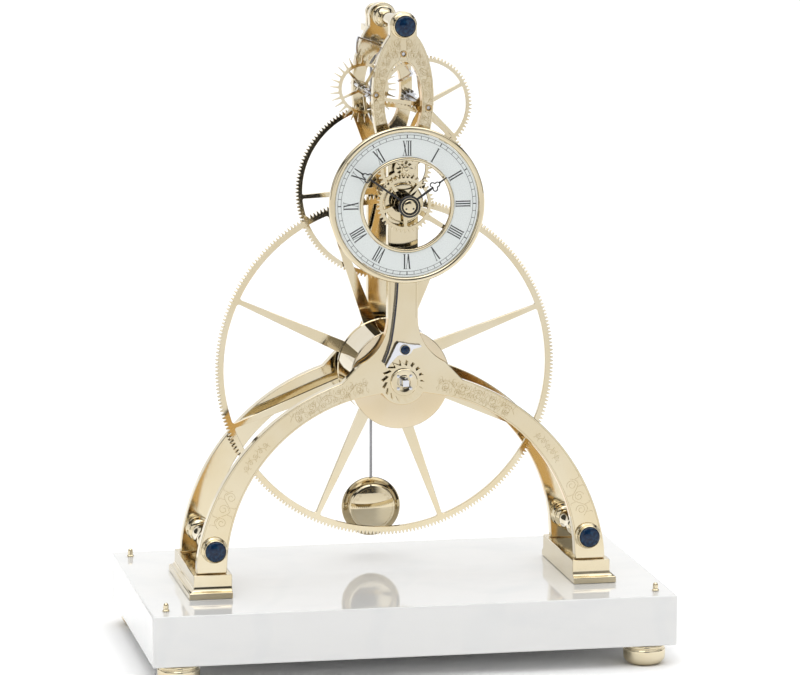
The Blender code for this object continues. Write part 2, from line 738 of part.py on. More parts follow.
def build_escape():
    """Escape arbor, driven by the third wheel, and escape wheel."""
    phase = pinion_phase(ESCAPE_AXIS, THIRD_AXIS, ESCAPE_PINION_TEETH)
    leaves = toothed(ESCAPE_PINION_TEETH, 2.9 * MM, 5.05 * MM, 0.42, 0.16, phase)
    body = circle((0.0, 0.0), 1.8 * MM, 12)
    pivot = circle((0.0, 0.0), PIVOT_RADIUS, 12)
    sections = [
        (pivot, FRONT_BACK + 0.8 * MM),
        (body, THIRD_PLANE[0] - 2.4 * MM),
        (leaves, THIRD_PLANE[1] + 3.4 * MM),
        (body, REAR_FACE - 0.8 * MM),
        (pivot, REAR_BACK - 0.5 * MM),
    ]
    shaft("escape_arbor", FRONT_FACE + 0.3 * MM, sections, STEEL, ESCAPE_AXIS)
    loops = [escape_outline(), circle((0.0, 0.0), 2.1 * MM, 12)]
    loops += windows(5, 4.6 * MM, 16.2 * MM, 2.4 * MM, 1.8 * MM, 60.0, 5)
    prism("escape_wheel", loops, ESCAPE_PLANE, GOLD, ESCAPE_AXIS)


def build_anchor():
    """Dead-beat pallets that stand just clear of the wheel's tips, their arbor and the crutch."""
    line = towards(PALLET_AXIS, ESCAPE_AXIS)
    reach = 25.0 * MM
    hub = circle((0.0, 0.0), 4.2 * MM, 16)
    thin = 1.0 * MM
    loops = [hub, circle((0.0, 0.0), 1.9 * MM, 12)]
    pallets = prism("pallets", loops, anchor_planes(), DARK_STEEL, PALLET_AXIS)
    for side in (-1, 1):
        tip = line + side * PALLET_CLEAR
        root = line + side * 76.0
        outside = arc((0.0, 0.0), reach + thin, tip, root, 5)
        inside = arc((0.0, 0.0), reach - thin, root - side * 6.0, tip, 5)
        far = math.radians(root)
        near = math.radians(root + side * 12.0)
        arm = [
            (4.0 * MM * math.cos(near), 4.0 * MM * math.sin(near)),
            (3.6 * MM * math.cos(far - side * 0.9), 3.6 * MM * math.sin(far - side * 0.9)),
        ]
        loop = outside + arm + inside
        join(pallets, prism("arm", [loop], anchor_planes(), DARK_STEEL, PALLET_AXIS))

    body = circle((0.0, 0.0), 1.6 * MM, 12)
    pivot = circle((0.0, 0.0), PIVOT_RADIUS, 12)
    sections = [
        (pivot, FRONT_BACK + 0.8 * MM),
        (body, COCK_PLANE[0] - 0.8 * MM),
        (pivot, COCK_PLANE[1] - 0.5 * MM),
    ]
    shaft("pallet_arbor", FRONT_FACE + 0.3 * MM, sections, STEEL, PALLET_AXIS)
    build_crutch()


def anchor_planes():
    """The pallets are a little wider than the escape wheel."""
    return (ESCAPE_PLANE[0] - 0.8 * MM, ESCAPE_PLANE[1] + 0.8 * MM)


def build_crutch():
    """Crutch behind the rear plate: a collar on the arbor, a hanging arm and a fork at the rod."""
    front, back = 42.0 * MM, 44.0 * MM
    fork_height = 388.0 * MM - PALLET_AXIS[1]
    bore = circle((0.0, 0.0), 1.9 * MM, 12)
    crutch = prism("crutch", [circle((0.0, 0.0), 3.6 * MM, 16), bore], (front, back), STEEL, PALLET_AXIS)
    arm_low = (-1.3 * MM, front + 0.3 * MM, fork_height)
    arm = block("arm", arm_low, (1.3 * MM, back - 0.3 * MM, -2.8 * MM), STEEL)
    bar_low = (-3.6 * MM, front, fork_height - 2.4 * MM)
    bar = block("bar", bar_low, (3.6 * MM, back, fork_height + 0.6 * MM), STEEL)
    tines = []
    for side in (-1, 1):
        middle = side * 2.6 * MM
        low = (middle - 0.8 * MM, back - 0.5 * MM, fork_height - 1.9 * MM)
        high = (middle + 0.8 * MM, PENDULUM_PLANE + 3.0 * MM, fork_height + 0.1 * MM)
        tines.append(block("tine", low, high, STEEL))
    for extra in (arm, bar, *tines):
        extra.location = crutch.location
    join(crutch, arm, bar, *tines)


# ---------------------------------------------------------------- motion work, dial and hands


def build_motion_work():
    """Cannon pinion, minute wheel and pinion on a stud, and hour wheel with its pipe."""
    cannon_phase = pinion_phase(CENTRE_AXIS, STUD_AXIS, CANNON_TEETH)
    leaves = toothed(CANNON_TEETH, 4.9 * MM, 7.1 * MM, 0.5, 0.2, cannon_phase)
    pipe = circle((0.0, 0.0), 3.4 * MM, 14)
    sections = [(pipe, MINUTE_PLANE[0] - 0.8 * MM), (leaves, MINUTE_PLANE[1] + 0.8 * MM)]
    cannon = shaft("cannon_pinion", -76.4 * MM, sections, STEEL, CENTRE_AXIS)
    bore = prism("bore", [circle((0.0, 0.0), 2.6 * MM, 12)], (-80.0 * MM, -50.0 * MM), STEEL, CENTRE_AXIS)
    cut(cannon, bore)

    minute = toothed(MINUTE_TEETH, 17.3 * MM, 19.7 * MM, 1.0, 0.0, towards(STUD_AXIS, CENTRE_AXIS))
    loops = [minute, circle((0.0, 0.0), 2.4 * MM, 12)]
    loops += windows(4, 7.6 * MM, 15.2 * MM, 3.0 * MM, 2.4 * MM, 30.0, 4)
    wheel = prism("minute_wheel", loops, MINUTE_PLANE, GOLD, STUD_AXIS)
    phase = pinion_phase(STUD_AXIS, CENTRE_AXIS, MINUTE_PINION_TEETH)
    pinion_leaves = toothed(MINUTE_PINION_TEETH, 3.5 * MM, 5.8 * MM, 0.46, 0.18, phase)
    planes = (HOUR_PLANE[0] - 0.6 * MM, MINUTE_PLANE[0] + 0.5 * MM)
    join(wheel, prism("leaves", [pinion_leaves, circle((0.0, 0.0), 2.4 * MM, 12)], planes, GOLD, STUD_AXIS))

    stud = [
        (0.0, FRONT_FACE + 5.0 * MM),
        (1.4 * MM, FRONT_FACE + 5.0 * MM),
        (1.4 * MM, FRONT_FACE - GAP),
        (3.4 * MM, FRONT_FACE - GAP),
        (3.4 * MM, MINUTE_PLANE[1] + 0.5 * MM),
        (2.0 * MM, MINUTE_PLANE[1] + 0.5 * MM),
        (2.0 * MM, HOUR_PLANE[0] - 0.9 * MM),
        (3.4 * MM, HOUR_PLANE[0] - 0.9 * MM),
        (2.6 * MM, HOUR_PLANE[0] - 2.2 * MM),
        (0.0, HOUR_PLANE[0] - 2.8 * MM),
    ]
    turned("minute_stud", stud, GOLD, (STUD_AXIS[0], 0.0, STUD_AXIS[1]), 14)

    hour = toothed(HOUR_TEETH, 18.7 * MM, 20.9 * MM, 1.0, 0.0, towards(CENTRE_AXIS, STUD_AXIS))
    bore = circle((0.0, 0.0), 3.8 * MM, 16)
    loops = [hour, bore] + windows(5, 8.0 * MM, 16.6 * MM, 3.0 * MM, 2.4 * MM, 54.0, 4)
    hour_wheel = prism("hour_wheel", loops, HOUR_PLANE, GOLD, CENTRE_AXIS)
    pipe_planes = (HOUR_HAND_PLANE[0] - 0.4 * MM, HOUR_PLANE[0] + 0.5 * MM)
    pipe_loops = [circle((0.0, 0.0), 5.0 * MM, 16), bore]
    join(hour_wheel, prism("pipe", pipe_loops, pipe_planes, GOLD, CENTRE_AXIS))


def build_dial():
    """White chapter ring with soldered feet, outer bezel and inner sight ring."""
    planes = (DIAL_FACE, DIAL_BACK)
    chapter = prism(
        "dial_ring",
        [circle(CENTRE_AXIS, CHAPTER_RADII[1], 40), circle(CENTRE_AXIS, CHAPTER_RADII[0], 28)],
        planes,
        DIAL_WHITE,
    )
    foot_planes = (DIAL_BACK - 0.5 * MM, FRONT_FACE - GAP)
    for foot_axis in DIAL_FEET:
        join(chapter, prism("foot", [circle(foot_axis, DIAL_FOOT_RADIUS, 10)], foot_planes, DIAL_WHITE))
    place = (CENTRE_AXIS[0], 0.0, CENTRE_AXIS[1])
    inner, outer = CHAPTER_RADII[1] + GAP, BEZEL_RADIUS
    bezel = [
        (inner, DIAL_BACK + 0.6 * MM),
        (inner, DIAL_FACE - 0.5 * MM),
        (inner + 1.4 * MM, DIAL_FACE - 1.9 * MM),
        (outer - 1.2 * MM, DIAL_FACE - 1.9 * MM),
        (outer, DIAL_FACE - 0.4 * MM),
        (outer, DIAL_BACK + 0.6 * MM),
    ]
    turned("dial_bezel", bezel, GOLD, place, 40)
    inner, outer = INNER_RING_RADIUS, CHAPTER_RADII[0] - GAP
    ring = [
        (inner, DIAL_BACK),
        (inner, DIAL_FACE - 0.4 * MM),
        (inner + 0.8 * MM, DIAL_FACE - 1.2 * MM),
        (outer - 0.6 * MM, DIAL_FACE - 1.2 * MM),
        (outer, DIAL_FACE - 0.3 * MM),
        (outer, DIAL_BACK),
    ]
    turned("dial_inner_ring", ring, GOLD, place, 28)


def trefoil(height, lobe, spread):
    """A closed trefoil about a point on the hand: left, top and right lobes."""
    loop = []
    for turn in (210.0, 90.0, -30.0):
        centre = (spread * math.cos(math.radians(turn)), height + spread * math.sin(math.radians(turn)))
        loop += arc(centre, lobe, turn + 100.0, turn - 100.0, 5)
    return loop


def build_hand(name, planes, turn, sizes, bore):
    """A hand with a trefoil: sizes are length, trefoil height, lobe radius, stem half-width, hub."""
    length, height, lobe, stem, hub = sizes
    spread = lobe * 1.15
    clover = trefoil(height, lobe, spread)
    lower = height - spread * 1.3
    hub_arc = arc((0.0, 0.0), hub, 97.0, 443.0, 18)
    tip = [(stem * 0.5, height + spread + lobe), (0.0, length), (-stem * 0.5, height + spread + lobe)]
    left, right = clover[:6], clover[12:]
    crown_left, crown_right = clover[6:9], clover[9:12]
    loop = hub_arc + [(stem, lower)] + right[::-1] + crown_right[::-1] + tip + crown_left[::-1] + left[::-1]
    loop += [(-stem, lower)]
    hand = prism(name, [loop, circle((0.0, 0.0), bore, 16)], planes, DARK_STEEL, CENTRE_AXIS)
    hand.rotation_euler = (0.0, turn, 0.0)


def build_hands():
    """Hour and minute hands and the domed nut that holds them."""
    hour_sizes = (34.6 * MM, 23.8 * MM, 2.1 * MM, 0.8 * MM, 7.0 * MM)
    minute_sizes = (48.6 * MM, 37.0 * MM, 2.1 * MM, 0.7 * MM, 6.6 * MM)
    build_hand("hour_hand", HOUR_HAND_PLANE, HOUR_ANGLE, hour_sizes, 5.3 * MM)
    build_hand("minute_hand", MINUTE_HAND_PLANE, MINUTE_ANGLE, minute_sizes, 3.7 * MM)
    front = MINUTE_HAND_PLANE[0] - 1.3 * MM
    nut = [
        (2.5 * MM, front),
        (2.5 * MM, front - 1.9 * MM),
        (3.4 * MM, front - 1.9 * MM),
        (4.4 * MM, front - 1.2 * MM),
        (8.0 * MM, front - 0.8 * MM),
        (8.0 * MM, front),
    ]
    turned("hand_nut", nut, STEEL, (CENTRE_AXIS[0], 0.0, CENTRE_AXIS[1]), 24)


# ---------------------------------------------------------------- pendulum


def build_suspension():
    """Cock with its spacer post on the top pillar's stem, its nut, and the suspension spring."""
    x, z = PILLAR_TOP
    bore = circle((x, z), 4.4 * MM, 14)
    cock_planes = (REAR_BACK + GAP, COCK_PLANE[0] + 1.0 * MM)
    cock = prism("cock", [circle((x, z), 8.4 * MM, 20), bore], cock_planes, GOLD)
    cock.name = "suspension_cock"
    width = 7.0 * MM
    bottom = PALLET_AXIS[1] - 6.0 * MM
    outline = [(-width, bottom), (width, bottom)] + arc((x, z), 8.4 * MM, -20.0, 200.0, 12)
    loops = [outline, bore, circle(PALLET_AXIS, PIVOT_HOLE, 10)]
    web = prism("web", loops, COCK_PLANE, GOLD)
    shelf_low = (-width, COCK_PLANE[1] - 1.0 * MM, 449.0 * MM)
    shelf = block("shelf", shelf_low, (width, PENDULUM_PLANE + 4.5 * MM, 454.0 * MM), GOLD)
    slot_low = (-4.2 * MM, PENDULUM_PLANE - 0.9 * MM, 440.0 * MM)
    slot = block("slot", slot_low, (4.2 * MM, PENDULUM_PLANE + 0.9 * MM, 460.0 * MM), GOLD)
    join(cock, web, shelf)
    cut(cock, slot)
    turned("cock_nut", nut_profile(COCK_PLANE[1] + GAP, 60.5 * MM, 7.6 * MM), GOLD, (x, 0.0, z), 16)

    low = (-3.4 * MM, PENDULUM_PLANE - 0.25 * MM, 434.0 * MM)
    high = (3.4 * MM, PENDULUM_PLANE + 0.25 * MM, 455.0 * MM)
    spring = block("suspension_spring", low, high, STEEL)
    set_origin(spring, (0.0, PENDULUM_PLANE, PALLET_AXIS[1]))


def set_origin(piece, point):
    """Move an object's origin without moving its shape."""
    shift = Vector(point) - piece.location
    piece.data.transform(Matrix.Translation(-shift))
    piece.location = point


def build_pendulum():
    """Rod with its top hook block, lens bob with a rear pocket, and the rating nut in the pocket."""
    pivot = (0.0, PENDULUM_PLANE, PALLET_AXIS[1])
    nut_height = BOB_CENTRE - 9.0 * MM
    hook = block(
        "pendulum_rod",
        (-4.4 * MM, PENDULUM_PLANE - 2.2 * MM, 424.0 * MM),
        (4.4 * MM, PENDULUM_PLANE + 2.2 * MM, 436.0 * MM),
        STEEL,
    )
    slot_low = (-3.8 * MM, PENDULUM_PLANE - 0.6 * MM, 433.4 * MM)
    cut(hook, block("slot", slot_low, (3.8 * MM, PENDULUM_PLANE + 0.6 * MM, 437.0 * MM), STEEL))
    rod_profile = [
        (0.0, 426.0 * MM),
        (ROD_RADIUS, 426.0 * MM),
        (ROD_RADIUS, nut_height - 6.0 * MM),
        (0.0, nut_height - 6.0 * MM),
    ]
    rod = turned("rod", rod_profile, STEEL, (0.0, PENDULUM_PLANE, 0.0), 10, upright=True)
    join(hook, rod)
    set_origin(hook, pivot)

    depth = BOB_HALF_DEPTH
    profile = [
        (0.0, PENDULUM_PLANE + depth),
        (17.0 * MM, PENDULUM_PLANE + depth - 1.2 * MM),
        (BOB_RADIUS, PENDULUM_PLANE + 1.6 * MM),
        (BOB_RADIUS, PENDULUM_PLANE - 1.6 * MM),
        (17.6 * MM, PENDULUM_PLANE - depth + 1.0 * MM),
        (17.0 * MM, PENDULUM_PLANE - depth),
        (0.0, PENDULUM_PLANE - depth),
    ]
    bob = turned("pendulum_bob", profile, GOLD, (0.0, 0.0, BOB_CENTRE), 28)
    channel_profile = [
        (0.0, BOB_CENTRE + 30.0 * MM),
        (ROD_RADIUS + 0.5 * MM, BOB_CENTRE + 30.0 * MM),
        (ROD_RADIUS + 0.5 * MM, nut_height - 9.0 * MM),
        (0.0, nut_height - 9.0 * MM),
    ]
    channel = turned("channel", channel_profile, GOLD, (0.0, PENDULUM_PLANE, 0.0), 10, upright=True)
    pocket_low = (-5.4 * MM, PENDULUM_PLANE - 5.4 * MM, nut_height - 2.6 * MM)
    pocket_high = (5.4 * MM, PENDULUM_PLANE + 20.0 * MM, nut_height + 2.6 * MM)
    cut(bob, channel, block("pocket", pocket_low, pocket_high, GOLD))
    set_origin(bob, pivot)

    nut = [
        (ROD_RADIUS + 0.35 * MM, nut_height + 2.2 * MM),
        (4.8 * MM, nut_height + 2.2 * MM),
        (4.8 * MM, nut_height - 2.2 * MM),
        (ROD_RADIUS + 0.35 * MM, nut_height - 2.2 * MM),
    ]
    turned("rating_nut", nut, GOLD, (0.0, PENDULUM_PLANE, 0.0), 16, upright=True)


def main():
    for piece in list(bpy.data.objects):
        bpy.data.objects.remove(piece)
    build_slab()
    build_feet()
    build_pins()
    build_plinth("plinth_left", -1)
    build_plinth("plinth_right", 1)
    build_plates()
    build_pillars()
    build_barrel()
    build_winding_work()
    build_great_wheel()
    build_centre_arbor()
    build_third()
    build_escape()
    build_anchor()
    build_motion_work()
    build_dial()
    build_hands()
    build_suspension()
    build_pendulum()


main()
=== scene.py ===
import json
import math
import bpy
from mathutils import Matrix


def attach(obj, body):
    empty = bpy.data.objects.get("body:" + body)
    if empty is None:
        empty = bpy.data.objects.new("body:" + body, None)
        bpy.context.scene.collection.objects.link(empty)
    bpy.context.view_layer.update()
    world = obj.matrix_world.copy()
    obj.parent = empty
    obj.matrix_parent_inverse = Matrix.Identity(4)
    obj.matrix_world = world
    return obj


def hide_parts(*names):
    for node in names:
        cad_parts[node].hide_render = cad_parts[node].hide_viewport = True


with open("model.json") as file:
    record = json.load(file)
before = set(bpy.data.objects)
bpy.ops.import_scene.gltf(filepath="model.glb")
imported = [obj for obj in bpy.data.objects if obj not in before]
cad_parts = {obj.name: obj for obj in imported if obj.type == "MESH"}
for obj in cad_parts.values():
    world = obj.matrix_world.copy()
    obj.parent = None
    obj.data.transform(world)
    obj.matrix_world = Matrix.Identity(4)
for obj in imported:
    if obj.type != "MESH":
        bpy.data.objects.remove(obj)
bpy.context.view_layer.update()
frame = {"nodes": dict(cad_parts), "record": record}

from types import SimpleNamespace

import bmesh
import bpy
from mathutils import Matrix, Vector

BODY_OF = {node: body for body, nodes in frame["record"]["behaviour"]["bodies"].items() for node in nodes}

# Shapes are in millimetres, X right, Y back and Z up; the mesh helpers turn them into metres.
# Materials, lamps, camera distance and floor are in metres.
MM = 0.001
ORIGIN = (0, 0)
GAP = 0.3

SLAB_LOW, SLAB_TOP = 15.5, 52.5
PLINTH_TOP = 69.4
FRONT_FACE, FRONT_BACK = -53.7, -45.7
REAR_FACE, REAR_BACK = 24.3, 32.3
LEG_OUTER_ARC = (-4, 57.1, 156.2)
LEG_INNER_ARC = (2.3, 71.5, 126.7)
COLUMN_HALF = 11
FILLET_RADIUS = 36
RING_CENTRE = 411
RING_HALF = (22.2, 50)
OPENING_CENTRE = 409.2
OPENING_HALF = (13.7, 28.4)
TOP_BOSS = 10

BARREL = (0, 206.3)
CENTRE = (0, 336.3)
STUD = (0, 361.3)
THIRD = (18.4, 404.1)
ESCAPE = (-19.8, 413.9)
PALLETS = (0, 443.1)
CLICK = (0.8, 229.7)
PILLAR_TOP = (0, 463.4)
PILLAR_LEFT, PILLAR_RIGHT = (-138.25, 87), (138.25, 87)

DIAL_FACE, DIAL_BACK = -68, -66.4
CLICK_PLANES = (-57.6, -55)
PENDULUM_Y = 69
BOB_Z = 89.6
BOB_RADIUS = 22.4


# ---------------- shader nodes


def add_node(tree, kind, sockets=(), **settings):
    """A shader node with its settings, and each input set to a value or fed by an output."""
    made = tree.nodes.new("ShaderNode" + kind)
    for key, value in settings.items():
        setattr(made, key, value)
    for key, value in dict(sockets).items():
        if isinstance(value, bpy.types.NodeSocket):
            tree.links.new(value, made.inputs[key])
        else:
            made.inputs[key].default_value = value
    return made


def ramp_between(tree, source, stops):
    """A colour ramp fed by a value: stops are (position, colour)."""
    ramp = add_node(tree, "ValToRGB", {"Fac": source})
    elements = ramp.color_ramp.elements
    while len(elements) < len(stops):
        elements.new(0.5)
    for element, (position, colour) in zip(elements, stops):
        element.position = position
        element.color = (*colour, 1)
    return ramp.outputs["Color"]


def grey_ramp(tree, source, low, high, stops):
    """A grey ramp over a range, from (value, brightness) stops."""
    stops = [((value - low) / (high - low), (level,) * 3) for value, level in stops]
    return ramp_between(tree, source, stops)


def mix_colours(tree, factor, first, second, blend="MIX"):
    sockets = {"Factor": factor, "A": first, "B": second}
    return add_node(tree, "Mix", sockets, data_type="RGBA", blend_type=blend).outputs["Result"]


def noise_at(tree, scale, detail=4, stretch=(1, 1, 1)):
    """A noise value in object coordinates, metres, optionally stretched."""
    place = add_node(tree, "TexCoord").outputs["Object"]
    mapping = add_node(tree, "Mapping", {"Vector": place, "Scale": stretch})
    sockets = {"Vector": mapping.outputs["Vector"], "Scale": scale, "Detail": detail}
    return add_node(tree, "TexNoise", sockets).outputs["Fac"]


def vary(tree, socket, noise, low, high):
    """Drive a shader's input between two limits with a noise."""
    sockets = {"Value": noise, "From Min": 0.3, "From Max": 0.7, "To Min": low, "To Max": high}
    tree.links.new(add_node(tree, "MapRange", sockets).outputs["Result"], socket)


def add_bump(tree, shader, noise, distance, strength):
    bump = add_node(tree, "Bump", {"Distance": distance, "Strength": strength, "Height": noise})
    tree.links.new(bump.outputs["Normal"], shader.inputs["Normal"])


# ---------------- camera, light and floor

CAMERA_TURNS = (-11.246, 9.313, 0.104)  # azimuth, elevation and roll, degrees
CAMERA_TARGET = (-2.18, -53.7, 238.16)
CAMERA_DISTANCE = 3.1238  # metres
CAMERA_LENS = 194.935

# Degrees from straight back (+Y), positive to the right, and the tent's brightness there.
TENT_SIDES = [
    (-180, 0.06), (-168, 0.06), (-162, 1), (-118, 1), (-112, 0.05), (-92, 0.05),
    (-86, 0.95), (-34, 0.95), (-30, 0.06), (-20, 0.06), (-16, 1), (16, 1),
    (20, 0.06), (32, 0.06), (36, 0.9), (76, 0.9), (82, 0.05), (108, 0.05),
    (114, 1), (162, 1), (168, 0.06), (180, 0.06),
]
# Height on the unit sphere and the brightness there; below the first gap the sides show.
TENT_HEIGHTS = [(0, 1), (0.36, 1), (0.4, 0.04), (0.56, 0.04), (0.62, 1), (1, 1)]
SIDES_SHARE = [(0, 1), (0.36, 1), (0.4, 0), (1, 0)]


def place_in_scene(name, data):
    made = bpy.data.objects.new(name, data)
    bpy.context.scene.collection.objects.link(made)
    return made


def make_camera():
    """A long lens, a little left of and above the clock."""
    azimuth, elevation, roll = (math.radians(turn) for turn in CAMERA_TURNS)
    level = math.cos(elevation)
    back = Vector((math.sin(azimuth) * level, -math.cos(azimuth) * level, math.sin(elevation)))
    right = Vector((math.cos(azimuth), math.sin(azimuth), 0))
    up = back.cross(right).normalized()
    right, up = right * math.cos(roll) + up * math.sin(roll), up * math.cos(roll) - right * math.sin(roll)
    data = bpy.data.cameras.new("camera")
    data.lens = CAMERA_LENS
    data.sensor_width = 36
    data.clip_end = 100
    camera = place_in_scene("camera", data)
    turn = Matrix((right, up, back)).transposed().to_4x4()
    place = Vector(CAMERA_TARGET) * MM + back * CAMERA_DISTANCE
    camera.matrix_world = Matrix.Translation(place) @ turn
    bpy.context.scene.camera = camera


def make_world():
    """A white tent with dark gaps: one all round above eye level, and a few upright ones."""
    world = bpy.data.worlds.new("studio")
    world.use_nodes = True
    tree = world.node_tree
    place = add_node(tree, "TexCoord").outputs["Generated"]
    split = add_node(tree, "SeparateXYZ", {0: place}).outputs
    turn = add_node(tree, "Math", {0: split["X"], 1: split["Y"]}, operation="ARCTAN2").outputs[0]
    around = add_node(tree, "MapRange", {"Value": turn, "From Min": -math.pi, "From Max": math.pi})
    rise = add_node(tree, "MapRange", {"Value": split["Z"]}).outputs["Result"]
    sides = grey_ramp(tree, around.outputs["Result"], -180, 180, TENT_SIDES)
    tent = grey_ramp(tree, rise, 0, 1, TENT_HEIGHTS)
    low = grey_ramp(tree, rise, 0, 1, SIDES_SHARE)
    tree.links.new(mix_colours(tree, low, tent, sides), tree.nodes["Background"].inputs["Color"])
    tree.nodes["Background"].inputs["Strength"].default_value = 1
    bpy.context.scene.world = world
    bpy.context.scene.view_settings.view_transform = "Standard"


def add_lamp(name, kind, energy):
    data = bpy.data.lights.new(name, kind)
    data.energy = energy
    return place_in_scene(name, data)


def make_lights():
    """Soft light straight down over the whole floor, and a softbox above on the left."""
    lamp = add_lamp("overhead", "SUN", 1.25)
    lamp.data.angle = math.radians(70)
    lamp.rotation_euler = (math.radians(-8), math.radians(6), 0)
    lamp = add_lamp("softbox", "AREA", 5)
    lamp.data.size = 1.1
    lamp.location = (-0.5, -1.2, 1.9)
    lamp.rotation_euler = (Vector((0, 0, 0.25)) - lamp.location).to_track_quat("-Z", "Y").to_euler()


def make_floor(look):
    """A plain pale floor that also fills the view behind the clock."""
    bm = bmesh.new()
    bmesh.ops.create_grid(bm, x_segments=2, y_segments=2, size=14)
    to_object("floor", bm, look)


# ---------------- materials


def principled(name, colour, roughness, metallic, **more):
    """A material; more sets further inputs, with underscores for the spaces in their names."""
    material = bpy.data.materials.new(name)
    material.use_nodes = True
    shader = material.node_tree.nodes["Principled BSDF"]
    for key, value in dict(Base_Color=(*colour, 1), Roughness=roughness, Metallic=metallic, **more).items():
        shader.inputs[key.replace("_", " ")].default_value = value
    return material, material.node_tree, shader


def two_tone(tree, shader, noise, first, second):
    """Blotches of two near colours."""
    tree.links.new(ramp_between(tree, noise, [(0.35, first), (0.65, second)]), shader.inputs["Base Color"])


def make_gold(name, colour, low, high, grain=(1, 1, 1), bump=0.06):
    """Polished, lacquered gold plate with faint wipe marks and a slightly uneven tone."""
    material, tree, shader = principled(name, colour, low, 1)
    dark = tuple(c * f for c, f in zip(colour, (0.96, 0.93, 0.86)))
    two_tone(tree, shader, noise_at(tree, 30, 3), dark, colour)
    marks = noise_at(tree, 900, 5, grain)
    vary(tree, shader.inputs["Roughness"], marks, low, high)
    add_bump(tree, shader, marks, 0.01 * MM, bump)
    return material


def make_steel(name, colour, low, high):
    material, tree, shader = principled(name, colour, low, 1)
    marks = noise_at(tree, 1200, 4, (1, 0.2, 1))
    vary(tree, shader.inputs["Roughness"], marks, low, high)
    pale = tuple(min(1, c * 1.12) for c in colour)
    two_tone(tree, shader, noise_at(tree, 60, 3), colour, pale)
    return material


def make_paint(name, colour, low, high, scale=700, bump=0):
    material, tree, shader = principled(name, colour, low, 0)
    grain = noise_at(tree, scale, 4)
    two_tone(tree, shader, grain, tuple(c * 0.96 for c in colour), colour)
    vary(tree, shader.inputs["Roughness"], grain, low, high)
    if bump:
        add_bump(tree, shader, grain, 0.02 * MM, bump)
    return material


def make_marble():
    """White marble under polish, with soft grey clouds and a few faint veins."""
    material, tree, shader = principled(
        "marble", (0.86, 0.86, 0.85), 0.05, 0, Coat_Weight=0.4, Coat_Roughness=0.02
    )
    clouds = noise_at(tree, 14, 8, (1, 1.6, 2.2))
    tone = ramp_between(tree, clouds, [
        (0.3, (0.745, 0.75, 0.75)), (0.47, (0.785, 0.785, 0.775)), (0.75, (0.8, 0.8, 0.79)),
    ])
    place = add_node(tree, "TexCoord").outputs["Object"]
    veins = add_node(tree, "TexWave", {"Vector": place, "Scale": 3, "Distortion": 11, "Detail": 4})
    lines = ramp_between(tree, veins.outputs["Fac"], [(0, (0.975, 0.98, 0.985)), (0.09, (1, 1, 1))])
    tree.links.new(mix_colours(tree, 1, tone, lines, "MULTIPLY"), shader.inputs["Base Color"])
    vary(tree, shader.inputs["Roughness"], clouds, 0.03, 0.08)
    return material


def make_lapis():
    """Deep blue lapis, mottled, with paler veins and gold flecks."""
    material, tree, shader = principled(
        "lapis", (0.01, 0.05, 0.2), 0.08, 0, Coat_Weight=0.15, Specular_IOR_Level=0.3
    )
    mottle = noise_at(tree, 420, 7)
    blues = ramp_between(tree, mottle, [
        (0.3, (0.001, 0.006, 0.025)), (0.5, (0.003, 0.018, 0.055)),
        (0.66, (0.008, 0.045, 0.1)), (0.8, (0.05, 0.12, 0.19)),
    ])
    flecks = noise_at(tree, 1900, 2)
    sparks = ramp_between(tree, flecks, [(0.7, (0, 0, 0)), (0.76, (1, 1, 1))])
    gilt = mix_colours(tree, sparks, blues, (0.32, 0.26, 0.1, 1))
    tree.links.new(gilt, shader.inputs["Base Color"])
    vary(tree, shader.inputs["Roughness"], mottle, 0.06, 0.14)
    return material


def make_floor_look():
    """Matt white, with painted shade making it a little greyer towards the front."""
    material, tree, shader = principled("floor_white", (1, 1, 1), 0.7, 0, Specular_IOR_Level=0)
    place = add_node(tree, "TexCoord").outputs["Object"]
    depth = add_node(tree, "SeparateXYZ", {0: place}).outputs["Y"]
    # painted shade: the floor darkens towards the front
    sockets = {"Value": depth, "From Min": -1.1, "From Max": -0.25}
    fade = add_node(tree, "MapRange", sockets, interpolation_type="SMOOTHSTEP").outputs["Result"]
    tone = ramp_between(tree, fade, [(0, (0.84, 0.84, 0.85)), (1, (1, 1, 1))])
    tree.links.new(tone, shader.inputs["Base Color"])
    return material


# ---------------- mesh helpers


def to_object(name, bm, look, place=(0, 0, 0), bevel=0, segments=2, sharp=35):
    """A named object from a bmesh, smooth between sharp edges, with its corners eased."""
    bmesh.ops.recalc_face_normals(bm, faces=bm.faces)
    mesh = bpy.data.meshes.new(name)
    bm.to_mesh(mesh)
    bm.free()
    mesh.shade_smooth()
    mesh.set_sharp_from_angle(angle=math.radians(sharp))
    mesh.materials.append(look)
    piece = place_in_scene(name, mesh)
    piece.location = [value * MM for value in place]
    if bevel:
        ease = piece.modifiers.new("eased", "BEVEL")
        ease.width = bevel * MM
        ease.segments = segments
        ease.limit_method = "ANGLE"
        ease.angle_limit = math.radians(35)
        ease.harden_normals = False
    return piece


def at(axis):
    """The place on an arbor's axis in the plane Y = 0."""
    return (axis[0], 0, axis[1])


def polar(radius, degrees, centre=ORIGIN):
    """A point in the XZ plane; degrees from +X towards +Z."""
    angle = math.radians(degrees)
    return (centre[0] + radius * math.cos(angle), centre[1] + radius * math.sin(angle))


def arc(centre, radius, start, end, steps):
    return [polar(radius, start + (end - start) * i / steps, centre) for i in range(steps + 1)]


def circle(centre, radius, steps=64, phase=0):
    return arc(centre, radius, phase, phase + 360, steps)[:-1]


def hole(radius, steps):
    return circle(ORIGIN, radius, steps)


def oval(height, half, start, end, steps):
    """Part of an ellipse centred on X = 0 at a height; angles as for arc."""
    return [(half[0] * x, height + half[1] * z) for x, z in arc(ORIGIN, 1, start, end, steps)]


def new_vert(bm, x, y, z):
    return bm.verts.new((x * MM, y * MM, z * MM))


def loop_edges(bm, loop, depth):
    verts = [new_vert(bm, x, depth, z) for x, z in loop]
    return [bm.edges.new((verts[i - 1], verts[i])) for i in range(len(verts))]


